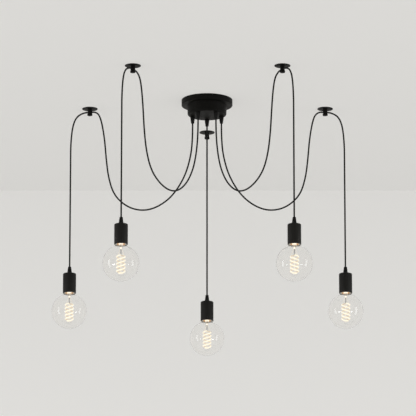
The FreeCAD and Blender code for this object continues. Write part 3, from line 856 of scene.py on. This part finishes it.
def cord_grip():
    """Collar, taper and lip above the sheet, and the shank below it."""
    bore = CORD_RADIUS
    profile = [
        (bore, -GRIP_SHANK_LENGTH), (SHANK_RADIUS, -GRIP_SHANK_LENGTH), (SHANK_RADIUS, 0),
        (GRIP_BASE_RADIUS, 0), (GRIP_BASE_RADIUS, GRIP_BASE_HEIGHT), (GRIP_TIP_RADIUS, GRIP_LENGTH),
        (bore, GRIP_LENGTH),
    ]
    grip = spun([*profile, profile[0]], GRIP_STEPS)
    lip = GRIP_LENGTH - MERGE
    soften(grip, GRIP_LIP_ROUND, 4, lambda middle: middle.z > lip and middle.xy.length > bore + FINE_EDGE)
    collar = GRIP_BASE_HEIGHT + MERGE
    outer = GRIP_BASE_RADIUS - FINE_EDGE
    return soften(grip, FINE_EDGE, 2, lambda middle: -MERGE < middle.z < collar and middle.xy.length > outer)


GRIP = cord_grip()
TIP_DOWN = Matrix.Rotation(math.pi, 4, "X")
CANOPY_GRIP_MOVES = [
    Matrix.Translation(place["grip"] - UP * CANOPY_HEIGHT) @ TIP_DOWN for place in PLACES
]
on_ceiling("canopy_cord_grips", joined(GRIP, CANOPY_GRIP_MOVES), "black_plastic", MOULDED, "canopy_grips")
on_lamps("cup_cord_grip", GRIP, at_cup, "pendant", "black_plastic", MOULDED, "cup_grip")

# %% [markdown]
# ## Lamp cups and lampholders
# The cup is a short drawn tube with a rolled shoulder, open below. Its lower lip and the lampholder's
# mouth lie next to the filament, so a helper writes there how brightly they are lit.

# %% Draw the cup
def light_up(bm, lit):
    """Writes in a layer how brightly the filament lights each point of a skin."""
    layer = bm.verts.layers.float.new(LIT)
    for vertex in bm.verts:
        vertex[layer] = lit(vertex.co)
    return bm


CUP_RADIUS = 23.25 * MM
CUP_HEIGHT = 71 * MM
CUP_WALL = 1.2 * MM
CUP_SHOULDER_ROUND = 3 * MM
CUP_EDGE_ROUND = 0.5 * MM


def lamp_cup():
    """The cup with a hole for the grip's shank, open below."""
    hole = SHANK_RADIUS + SLIP_FIT
    inner = CUP_RADIUS - CUP_WALL
    profile = [
        (hole, 0), (CUP_RADIUS, 0), (CUP_RADIUS, -CUP_HEIGHT), (inner, -CUP_HEIGHT), (inner, -CUP_WALL),
        (hole, -CUP_WALL),
    ]
    cup = spun([*profile, profile[0]])
    soften(cup, CUP_SHOULDER_ROUND, 6, lambda middle: middle.z > -MERGE and middle.xy.length > inner)
    ceiling = -CUP_WALL - MERGE
    soften(
        cup, CUP_SHOULDER_ROUND - CUP_WALL, 4,
        lambda middle: ceiling < middle.z < ceiling + 2 * MERGE and middle.xy.length > 2 * hole,
    )
    soften(cup, CUP_EDGE_ROUND, 3, lambda middle: middle.z < -CUP_HEIGHT + MERGE)
    return light_up(cup, lambda point: float(point.z < -CUP_HEIGHT + MM and point.xy.length < inner + MERGE))


on_lamps("socket_cup_piece", lamp_cup(), at_cup, "pendant", "black_metal", CUP_COAT_PAINTED_PALER, "socket_cup")

# %% [markdown]
# The bulb's cap and the lampholder's shell are thin sheet rolled with a round thread. One pitch of the
# thread is spun up along a helix, and two level cuts trim it. That leaves an open ring at each end,
# which further rings can be grown from.

# %% Roll a thread
THREAD_PITCH = 3.62 * MM
THREAD_DEPTH = 0.8 * MM
THREAD_POINTS = 6
THREAD_STEPS = 48


def thread_surface(crest_radius, low, high):
    """A round thread's surface between two heights, with its two open rings level."""
    bm = bmesh.new()
    points = []
    for index in range(THREAD_POINTS + 1):
        share = index / THREAD_POINTS
        radius = crest_radius - THREAD_DEPTH * (1 - math.cos(math.tau * share)) / 2
        points.append(bm.verts.new((radius, 0, low - THREAD_PITCH * (1 - share))))
    lines = [bm.edges.new(pair) for pair in zip(points, points[1:])]
    turns = math.ceil((high - low) / THREAD_PITCH) + 1
    bmesh.ops.spin(
        bm, geom=points + lines, cent=(0, 0, 0), axis=(0, 0, 1), dvec=(0, 0, THREAD_PITCH / THREAD_STEPS),
        angle=math.tau * turns, steps=THREAD_STEPS * turns, use_merge=False,
    )
    bmesh.ops.remove_doubles(bm, verts=bm.verts, dist=MERGE)
    for height, outwards in ((low, -1), (high, 1)):
        bmesh.ops.bisect_plane(
            bm, geom=[*bm.verts, *bm.edges, *bm.faces], plane_co=(0, 0, height),
            plane_no=(0, 0, outwards), clear_outer=True,
        )
    return bm


def open_ring(bm, height):
    """The open edges that lie at a height."""
    return [
        edge for edge in bm.edges
        if edge.is_boundary and all(abs(vertex.co.z - height) < MERGE for vertex in edge.verts)
    ]


def grow_ring(bm, ring, radius, height):
    """Extrudes an open ring to another radius and height, and gives the new ring back."""
    made = bmesh.ops.extrude_edge_only(bm, edges=ring)["geom"]
    for vertex in (item for item in made if isinstance(item, bmesh.types.BMVert)):
        angle = math.atan2(vertex.co.y, vertex.co.x)
        vertex.co = polar(radius, angle) + UP * height
    return [item for item in made if isinstance(item, bmesh.types.BMEdge) and item.is_boundary]


# %% [markdown]
# The lampholder is a moulded insulator that fills the cup, bored from below for the bulb's cap. The
# brass shell sits in its bore and glows orange round the bulb's neck. A sprung tongue, one strip bent
# once, bears on the bulb's contact button.

# %% Lampholder pieces
HOLDER_RECESS = 0.5 * MM
HOLDER_BORE_RADIUS = 14.5 * MM
HOLDER_BORE_DEPTH = 34 * MM
HOLDER_TOP = 3.4 * MM
HOLDER_LIP = 0.8 * MM
SHELL_RECESS = 1 * MM
SHELL_LENGTH = 28 * MM
SHELL_SHEET = 0.35 * MM
HOLDER_FOOT = -CUP_HEIGHT + HOLDER_RECESS
TONGUE_WIDTH = 5 * MM
TONGUE_REACH = 7 * MM
TONGUE_BEND = 1.2 * MM
TONGUE_SHEET = 0.5 * MM
NECK_TOP_ABOVE_RIM = 7 * MM
CAP_HEIGHT = 20 * MM
CAP_CONE_HEIGHT = 3.8 * MM
BUTTON_HEIGHT = 1.6 * MM
BUTTON_FOOT = -CUP_HEIGHT + NECK_TOP_ABOVE_RIM + CAP_HEIGHT + CAP_CONE_HEIGHT
BUTTON_TOP = BUTTON_FOOT + BUTTON_HEIGHT


def holder_insulator():
    """The moulded body that fills the cup, bored from below."""
    outer = CUP_RADIUS - CUP_WALL - SLIP_FIT
    bore_end = HOLDER_FOOT + HOLDER_BORE_DEPTH
    thread = SHANK_RADIUS + SLIP_FIT
    shank_foot = -GRIP_SHANK_LENGTH - SLIP_FIT
    body = spun([
        (0, bore_end), (HOLDER_BORE_RADIUS, bore_end), (HOLDER_BORE_RADIUS, HOLDER_FOOT),
        (outer, HOLDER_FOOT), (outer, -HOLDER_TOP), (thread, -HOLDER_TOP), (thread, shank_foot),
        (0, shank_foot),
    ])
    soften(body, HOLDER_LIP, 3, lambda middle: middle.z < HOLDER_FOOT + MERGE)
    return light_up(body, lambda point: float(point.xy.length < HOLDER_BORE_RADIUS + HOLDER_LIP + MERGE))


def screw_shell():
    """The thin brass shell, rolled with the cap's thread."""
    low = HOLDER_FOOT + SHELL_RECESS
    high = low + SHELL_LENGTH
    shell = thread_surface(HOLDER_BORE_RADIUS - SLIP_FIT, low, high)
    bmesh.ops.recalc_face_normals(shell, faces=shell.faces)
    bmesh.ops.solidify(shell, geom=shell.faces, thickness=SHELL_SHEET)
    return shell


def centre_tongue():
    """The sprung strip that bears on the bulb's button, bent once from the bore's end."""
    touch = BUTTON_TOP + SLIP_FIT
    bore_end = HOLDER_FOOT + HOLDER_BORE_DEPTH
    bm = bmesh.new()
    half = Vector((TONGUE_REACH, TONGUE_WIDTH, 0)) / 2
    start = [bm.verts.new((half.x, side * half.y, touch)) for side in (-1, 1)]
    edge = bm.edges.new(start)
    for move in (Vector((-TONGUE_REACH, 0, 0)), UP * (bore_end - touch)):
        made = bmesh.ops.extrude_edge_only(bm, edges=[edge])["geom"]
        tip = [item for item in made if isinstance(item, bmesh.types.BMVert)]
        bmesh.ops.translate(bm, vec=move, verts=tip)
        edges = [item for item in made if isinstance(item, bmesh.types.BMEdge) and item.is_boundary]
        edge = next(item for item in edges if all(vertex in tip for vertex in item.verts))
    bend = [item for item in bm.edges if len(item.link_faces) == 2]
    bmesh.ops.bevel(
        bm, geom=bend, offset=TONGUE_BEND, segments=4, profile=0.5, affect="EDGES", material=-1
    )
    bmesh.ops.recalc_face_normals(bm, faces=bm.faces)
    bmesh.ops.solidify(bm, geom=bm.faces, thickness=TONGUE_SHEET)
    return bm


on_lamps(
    "lampholder_piece", holder_insulator(), at_cup, "pendant", "holder_plastic", PHENOLIC, "lampholder_body"
)
on_lamps("screw_shell_piece", screw_shell(), at_cup, "pendant", "brass", BRASS, "lampholder_contacts")
on_lamps("centre_tongue_piece", centre_tongue(), at_cup, "pendant", "brass", BRASS)

# %% [markdown]
# ## The bulb
# The globe is blown glass less than a millimetre thick. It is modelled with both of its surfaces,
# because real light bends at each, and only then do the faint double outline and the soft streaks of
# the studio lights appear. The neck narrows into the screw cap. Inside, a glass stem ends in a flat
# press that holds a support rod and the two lead wires.

# %% Blow the globe
GLASS_WALL = 0.6 * MM
NECK_RADIUS = 12.7 * MM
NECK_FLARE_RADIUS = 20 * MM
NECK_BLEND_HEIGHT = 6 * MM
GLOBE_POINTS = 28
NECK_POINTS = 6
GLOBE_STEPS = 96
NECK_TOP = CUP_TO_GLOBE - CUP_HEIGHT + NECK_TOP_ABOVE_RIM


def globe_outline(inset):
    """Half of the globe and its neck, from the foot up, inset by some wall."""
    radius = BULB_RADIUS - inset
    flare_angle = math.acos(NECK_FLARE_RADIUS / BULB_RADIUS)
    outline = []
    for index in range(GLOBE_POINTS + 1):
        angle = -math.pi / 2 + (flare_angle + math.pi / 2) * index / GLOBE_POINTS
        outline.append((radius * math.cos(angle), radius * math.sin(angle)))
    start = Vector(outline[-1])
    end = Vector((NECK_RADIUS - inset, start.y + NECK_BLEND_HEIGHT))
    leaving = Vector((-math.sin(flare_angle), math.cos(flare_angle)))
    corner = start + leaving * ((start.x - end.x) / -leaving.x)
    for index in range(1, NECK_POINTS + 1):
        share = index / NECK_POINTS
        point = start.lerp(corner, share).lerp(corner.lerp(end, share), share)
        outline.append(tuple(point))
    outline[0] = (0, -radius)
    outline.append((NECK_RADIUS - inset, NECK_TOP - inset))
    return outline


def globe():
    """The blown envelope: its outer surface, and its inner surface turned to face the hollow."""
    envelope = spun([*globe_outline(0), (0, NECK_TOP)], GLOBE_STEPS)
    hollow = spun([*globe_outline(GLASS_WALL), (0, NECK_TOP - GLASS_WALL)], GLOBE_STEPS)
    bmesh.ops.reverse_faces(hollow, faces=hollow.faces)
    take_in(envelope, hollow)
    hollow.free()
    return envelope


# %% [markdown]
# The stem is a flared tube that is closed at its lower end and squeezed flat in the flame. The support
# rod hangs from it down the middle of the spiral and ends in a bead. The stem's press and the rod's
# lower part show bright in the photograph, so they and the stem's tube above its bowl get a painted glow
# of the filament's light; the stem's bowl between cup and press gets none and stays darker.

# %% Stem, press and support rod
STEM_TOP_RADIUS = 9 * MM
STEM_RADIUS = 6.8 * MM
STEM_SHOULDER = 61 * MM
STEM_FOOT = 49 * MM
PRESS_RADIUS = 2.6 * MM
PRESS_TOP = 56.5 * MM
PRESS_SQUEEZE = 0.6
ROD_RADIUS = 1.6 * MM
ROD_LIT_BELOW = 27 * MM
ROD_LIT = 0.5
ROD_FOOT = -27 * MM
ROD_BEAD_RADIUS = 2.2 * MM
PRESS_END = ((0.7, 0.3 * MM), (1, 1.5 * MM))
STEM_BOWL = ((0.8, 0.3), (0.95, 0.6))
BEAD_SLOPE = 0.7
STEM_STEPS = 32
ROD_STEPS = 24


def stem_glass():
    """The flared tube, closed and squeezed flat at its press."""
    top = NECK_TOP - GLASS_WALL - SLIP_FIT
    bowl = STEM_SHOULDER - PRESS_TOP
    lit_foot = PRESS_TOP - MM
    lit_top = STEM_SHOULDER + bowl
    stem = spun([
        (0, STEM_FOOT), *((PRESS_RADIUS * share, STEM_FOOT + rise) for share, rise in PRESS_END),
        (PRESS_RADIUS, lit_foot), (PRESS_RADIUS, PRESS_TOP),
        *((STEM_RADIUS * share, PRESS_TOP + bowl * rise) for share, rise in STEM_BOWL),
        (STEM_RADIUS, STEM_SHOULDER), (STEM_RADIUS, lit_top), (STEM_TOP_RADIUS, top), (0, top),
    ], STEM_STEPS)
    for vertex in stem.verts:
        if vertex.co.z <= PRESS_TOP + MERGE:
            vertex.co.y *= PRESS_SQUEEZE
    # Painted glow: the stem outside its bowl shines as if lit by the filament.
    return light_up(stem, lambda point: float(not lit_foot + MERGE < point.z < lit_top - MERGE))


def support_rod():
    """The thin rod under the press, with a bead at its end."""
    neck = STEM_FOOT + MM
    slope = ROD_BEAD_RADIUS * BEAD_SLOPE
    rod = spun([
        (0, ROD_FOOT - ROD_BEAD_RADIUS), (slope, ROD_FOOT - slope), (ROD_BEAD_RADIUS, ROD_FOOT),
        (ROD_RADIUS, ROD_FOOT + ROD_BEAD_RADIUS), (ROD_RADIUS, ROD_LIT_BELOW),
        (ROD_RADIUS, ROD_LIT_BELOW + 2 * MM), (ROD_RADIUS, neck), (0, neck),
    ], ROD_STEPS)
    # Painted glow: the rod below this height shines at half strength as if lit by the filament.
    return light_up(rod, lambda point: ROD_LIT if point.z < ROD_LIT_BELOW + MM else 0)


# %% [markdown]
# The cap's thread is rolled as the shell's is. Further rings grown from its open ends close it: below
# against the neck, and above over the insulating cone. The contact button is a drop of solder.

# %% Screw cap and contact button
CAP_RADIUS = 13.2 * MM
BUTTON_RADIUS = 4.5 * MM
BUTTON_STEPS = 32
GLASS_CONE_GAP = 0.05 * MM


def screw_cap():
    """The threaded metal cap with its insulating cone."""
    low = NECK_TOP
    high = low + CAP_HEIGHT
    cap = thread_surface(CAP_RADIUS, low, high)
    skirt = grow_ring(cap, open_ring(cap, low), CAP_RADIUS - THREAD_DEPTH, low)
    grow_ring(cap, skirt, 0, low)
    shoulder = grow_ring(cap, open_ring(cap, high), CAP_RADIUS - THREAD_DEPTH, high + MM)
    tip = grow_ring(cap, shoulder, BUTTON_RADIUS, high + CAP_CONE_HEIGHT)
    grow_ring(cap, tip, 0, high + CAP_CONE_HEIGHT)
    bmesh.ops.remove_doubles(cap, verts=cap.verts, dist=MERGE)
    bmesh.ops.recalc_face_normals(cap, faces=cap.faces)
    return cap


def contact_button():
    """The solder button on the cone's tip."""
    foot = BUTTON_FOOT + CUP_TO_GLOBE + GLASS_CONE_GAP
    top = foot + BUTTON_HEIGHT
    button = spun([(0, foot), (BUTTON_RADIUS, foot), (BUTTON_RADIUS, top), (0, top)], BUTTON_STEPS)
    return soften(button, BUTTON_HEIGHT / 2, 4, lambda middle: middle.z > top - MERGE)


# %% [markdown]
# ## The glowing strip
# The filament is one flexible strip wound as a double spiral: down one strand, across the foot in an
# S, and up the other strand, half a turn apart. Its route comes from a formula and goes through the
# same smooth curve as the cords. The strands' tops lie at the front and the back, and the two leads
# slant from the stem's press and join the strands a little way down. The photograph shows two lamps
# wound one way and three the other, so the strip is made once for each hand.

# %% Wind the filament
SPIRAL_RADIUS = 13.4 * MM
SPIRAL_HEIGHT = 62.4 * MM
SPIRAL_DROP = 2.7 * MM
SPIRAL_FAN = 0.03
SPIRAL_LEAN = 3.3 * MM
SPIRAL_TURNS = 2.5
SPIRAL_STEPS_PER_TURN = 16
BRIDGE_STEPS = 6
STRIP_RADIUS = 2.2 * MM
LEAD_RADIUS = 0.8 * MM
LEAD_SPREAD = 2.5 * MM
LEAD_TURNS = 1 / 6
LEAD_STEPS = 12
FILAMENT_HANDS = ((1, ("front_right", "right")), (-1, ("back", "left", "front_left")))
SPLINE_CUT = (1 + math.cos(math.tau / SPIRAL_STEPS_PER_TURN)) / 2


def settled(point):
    """A point of the even spiral as the strip hangs: opened at the front, leaning and a little low."""
    front = point.y / SPIRAL_RADIUS
    return Vector((point.x, point.y, point.z * (1 - SPIRAL_FAN * front) + SPIRAL_LEAN * front - SPIRAL_DROP))


def on_strand(hand, turns, radius):
    """A point of the first strand, so many turns from its top, which is at the front."""
    around = hand * math.tau * turns - math.pi / 2
    return polar(radius, around) + UP * SPIRAL_HEIGHT * (1 / 2 - turns / SPIRAL_TURNS)


def spiral_route(hand):
    """Points on both strands and on the S between them, wound to a hand and centred on the globe."""
    steps = round(SPIRAL_TURNS * SPIRAL_STEPS_PER_TURN)
    radius = SPIRAL_RADIUS / SPLINE_CUT
    last = hand * math.tau * SPIRAL_TURNS - math.pi / 2
    strand = [on_strand(hand, index / SPIRAL_STEPS_PER_TURN, radius) for index in range(steps + 1)]
    foot = -UP * SPIRAL_HEIGHT / 2
    bend = []
    for index in range(1, BRIDGE_STEPS):
        around = last + hand * math.pi * index / BRIDGE_STEPS
        bend.append(polar(radius / 2, last) + polar(radius / 2, around))
    first_half = [foot + point for point in bend]
    second_half = [foot - point for point in bend[::-1]]
    other = [Vector((-point.x, -point.y, point.z)) for point in strand[::-1]]
    return [settled(point) for point in strand + first_half + [foot] + second_half + other]


def lead_wires(hand):
    """Both slanting leads as one bmesh."""
    leads = bmesh.new()
    joint = on_strand(hand, LEAD_TURNS, SPIRAL_RADIUS)
    for end in (joint, Vector((-joint.x, -joint.y, joint.z))):
        start = Vector((math.copysign(LEAD_SPREAD, end.x), 0, STEM_FOOT + MM))
        wire = round_bar(start, settled(end), LEAD_RADIUS, LEAD_STEPS)
        take_in(leads, wire)
        wire.free()
    return leads


def filament_strip(hand):
    """The strip's tube as a bmesh, with how far each point of its skin looks away from the axis."""
    tube, path = tube_along("filament", spiral_route(hand), STRIP_RADIUS)
    length = sum((b - a).length for a, b in zip(path, path[1:]))
    print(f"the filament's strip is {length:.3f} m long")
    strip = bmesh.new()
    strip.from_mesh(tube)
    bpy.data.meshes.remove(tube)
    outward = strip.verts.layers.float.new(OUTWARD)
    for vertex in strip.verts:
        away = Vector((vertex.co.x, vertex.co.y, 0)).normalized()
        vertex[outward] = min(1, max(0, 0.5 + vertex.normal.dot(away)))
    return strip


for hand, names in FILAMENT_HANDS:
    wound = [place for place in PLACES if place["name"] in names]
    strip = filament_strip(hand)
    on_lamps("filament_strip", strip, at_globe, "bulb", "glowing_strip", GLOW, "bulb_filament", wound)
    on_lamps("lead_wires", lead_wires(hand), at_globe, "bulb", "cap_metal", LEAD_METAL, None, wound)

# %% [markdown]
# The rest of the bulb turns with the globe. Only the contact button rides on a body of its own, which
# carries the bulb down by one pitch a turn as it is screwed out.

# %% Put the bulbs in their places
on_lamps("globe", globe(), at_globe, "bulb", "clear_glass", GLASS, "bulb_glass")
on_lamps("stem_glass", stem_glass(), at_globe, "bulb", "clear_glass", STEM_GLASS)
on_lamps("support_rod", support_rod(), at_globe, "bulb", "clear_glass", STEM_GLASS)
on_lamps("screw_cap", screw_cap(), at_globe, "bulb", "cap_metal", CAP_METAL, "bulb_cap")
on_lamps("contact_button", contact_button(), at_globe, "bulb_thread", "brass", BRASS, "bulb_contact")

# %% [markdown]
# ## Inside the canopy
# From above, where the ceiling would be, the canopy is open. The strap, the nuts, the side screws and
# the terminal block are the frame's own solids, because their shapes are right: they only get their
# finish. The cords' stripped ends are soft, so they are drawn again as smooth round sleeves.

# %% Finish the frame's own pieces
for node, material in (
    ("mounting_strap", ZINC), ("grip_nuts", ZINC), ("canopy_screws", POWDER_COAT),
    ("terminal_block", BLOCK_PLASTIC),
):
    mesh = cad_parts[node].data
    mesh.materials.clear()
    mesh.materials.append(material)

# %% Draw the stripped cord ends
CORE_RADIUS = 1.8 * MM
CORE_STRAIGHT = 12 * MM
STRAP_THICKNESS = 2 * MM
BLOCK_BASE_HEIGHT = 9 * MM
BLOCK_LENGTH = 46 * MM
BLOCK_WIDTH = 22 * MM
BLOCK_POLE_SPACING = 15 * MM


def core_route(place):
    """Up from the grip's shank and in to a pole of the terminal block."""
    grip = place["grip"]
    height = -STRAP_THICKNESS - BLOCK_BASE_HEIGHT / 2
    if abs(grip.x) > BLOCK_LENGTH:
        outwards = Vector((math.copysign(1, grip.x), 0, 0))
        port = outwards * BLOCK_LENGTH / 2 + Vector((0, BLOCK_WIDTH / 4, height))
    else:
        outwards = Vector((0, math.copysign(1, grip.y), 0))
        pole = math.copysign(BLOCK_POLE_SPACING, grip.x) if abs(grip.x) > CORE_RADIUS else 0
        port = outwards * BLOCK_WIDTH / 2 + Vector((pole, 0, height))
    foot = grip - UP * (CANOPY_HEIGHT - GRIP_SHANK_LENGTH)
    return [foot, grip + UP * height, port + outwards * CORE_STRAIGHT, port]


cores = bmesh.new()
for place in PLACES:
    sleeve, _ = tube_along("core", core_route(place), CORE_RADIUS)
    cores.from_mesh(sleeve)
    bpy.data.meshes.remove(sleeve)
on_ceiling("stripped_cord_ends", cores, "core_sleeve", SLEEVE, "cord_cores")

# %% [markdown]
# ## Ceiling, wall and floor
# The lamp hangs from a pale ceiling in front of a pale wall. Both are one-sided: seen from behind or
# from above they are clear, so that the lamp can be looked at from every side. The plaster takes the
# lamp's shadows, and a lift that only the eye sees makes it as pale as in the photograph, without more
# light on the lamp.

# %% Pale ceiling, wall and floor
WALL_BACK = 1.23
CEILING_SIZE = (6.0, 4.2)
WALL_SIZE = (9.0, 4.7)
FLOOR_SIZE = (12.0, 12.0)
FLOOR_DEPTH = -4.7
PLASTER = (0.45, 0.448, 0.441)
PLASTER_CLOUD = 1.015
PLASTER_LIFT = (0.494, 0.486, 0.466)


def seen_by_eye(tree):
    """An output that is 1 for what the eye sees, straight, mirrored or through glass, and 0 for light."""
    ray = tree.nodes.new("ShaderNodeLightPath")
    mirrored = calculate(tree, "MAXIMUM", ray.outputs["Is Camera Ray"], ray.outputs["Is Glossy Ray"])
    return calculate(tree, "MAXIMUM", mirrored, ray.outputs["Is Transmission Ray"])


def plaster():
    """Matt pale plaster, lifted for the eye but not for the lamp's light, and clear from behind."""
    material, shader = new_finish("pale_plaster", Roughness=0.95, Specular_IOR_Level=0.1)
    shader.inputs["Emission Color"].default_value = (*PLASTER_LIFT, 1)
    clouds = noise(material, 1.5, 2)
    lighter = tuple(channel * PLASTER_CLOUD for channel in PLASTER)
    two_tones(material, shader, clouds, PLASTER, lighter)
    nodes, links = material.node_tree.nodes, material.node_tree.links
    links.new(seen_by_eye(material.node_tree), shader.inputs["Emission Strength"])
    clear = nodes.new("ShaderNodeBsdfTransparent")
    facing = nodes.new("ShaderNodeNewGeometry")
    either = nodes.new("ShaderNodeMixShader")
    links.new(facing.outputs["Backfacing"], either.inputs[0])
    links.new(shader.outputs[0], either.inputs[1])
    links.new(clear.outputs[0], either.inputs[2])
    links.new(either.outputs[0], nodes["Material Output"].inputs["Surface"])
    return material


def stage_plane(name, size, matrix):
    """One large sheet of the room."""
    bm = bmesh.new()
    flat = Matrix.Diagonal((size[0], size[1], 1, 1))
    bmesh.ops.create_grid(bm, x_segments=1, y_segments=1, size=0.5, matrix=matrix @ flat)
    mesh = bpy.data.meshes.new(name)
    bm.to_mesh(mesh)
    bm.free()
    mesh.materials.append(PLASTER_FINISH)
    plane = bpy.data.objects.new(name, mesh)
    bpy.context.scene.collection.objects.link(plane)
    print("stage", name, size[0], "by", size[1], "m")


PLASTER_FINISH = plaster()
FACING_DOWN = Matrix.Rotation(math.pi, 4, "X")
FACING_FRONT = Matrix.Rotation(math.pi / 2, 4, "X")
CEILING_MIDDLE = (0, WALL_BACK - CEILING_SIZE[1] / 2, 0)
WALL_MIDDLE = (0, WALL_BACK, -WALL_SIZE[1] / 2)
FLOOR_MIDDLE = (0, WALL_BACK - FLOOR_SIZE[1] / 2, FLOOR_DEPTH)
stage_plane("ceiling", CEILING_SIZE, Matrix.Translation(CEILING_MIDDLE) @ FACING_DOWN)
stage_plane("wall", WALL_SIZE, Matrix.Translation(WALL_MIDDLE) @ FACING_FRONT)
stage_plane("floor", FLOOR_SIZE, Matrix.Translation(FLOOR_MIDDLE))

# %% [markdown]
# ## Light
# The light is an even white from the world. The eye sees a pale surround in its place, because clear
# glass in front of pure white would vanish. Two tall and two low soft boxes are seen only as
# reflections: the tall ones draw the upright streaks on the globes and the soft lines on the cups, and
# the low ones the small glints beside the filament.

# %% Even world light and four soft boxes
DAYLIGHT = (1.0, 1.0, 1.0)
PALE_SURROUND = (0.70, 0.69, 0.66)
LAMP_MIDDLE = Vector((0, 0, -0.75))
BOX_DISTANCE = 4.5
TALL_BOX = {"angle": math.radians(74), "drop": 0, "width": 0.95, "height": 3.1, "power": 36.0}
LOW_BOX = {"angle": math.radians(43), "drop": 1.1, "width": 1.2, "height": 0.4, "power": 18.0}

world = bpy.data.worlds.new("studio")
world.use_nodes = True
background = world.node_tree.nodes["Background"]
blend_colours(world, seen_by_eye(world.node_tree), background.inputs["Color"], DAYLIGHT, PALE_SURROUND)
bpy.context.scene.world = world
for kind in (TALL_BOX, LOW_BOX):
    for side in (-1, 1):
        soft = bpy.data.lights.new("soft_box", "AREA")
        soft.shape = "RECTANGLE"
        soft.size = kind["width"]
        soft.size_y = kind["height"]
        soft.energy = kind["power"]
        box = bpy.data.objects.new("soft_box", soft)
        away = Vector((side * math.sin(kind["angle"]), -math.cos(kind["angle"]), 0)) * BOX_DISTANCE
        away.z = -kind["drop"]
        box.location = LAMP_MIDDLE + away
        box.rotation_euler = away.to_track_quat("Z", "Y").to_euler()
        box.visible_camera = box.visible_transmission = box.visible_diffuse = False
        bpy.context.scene.collection.objects.link(box)
        print("soft box at", [round(value, 2) for value in box.location], "of", soft.energy, "W")

bpy.context.scene.view_settings.view_transform = "Standard"
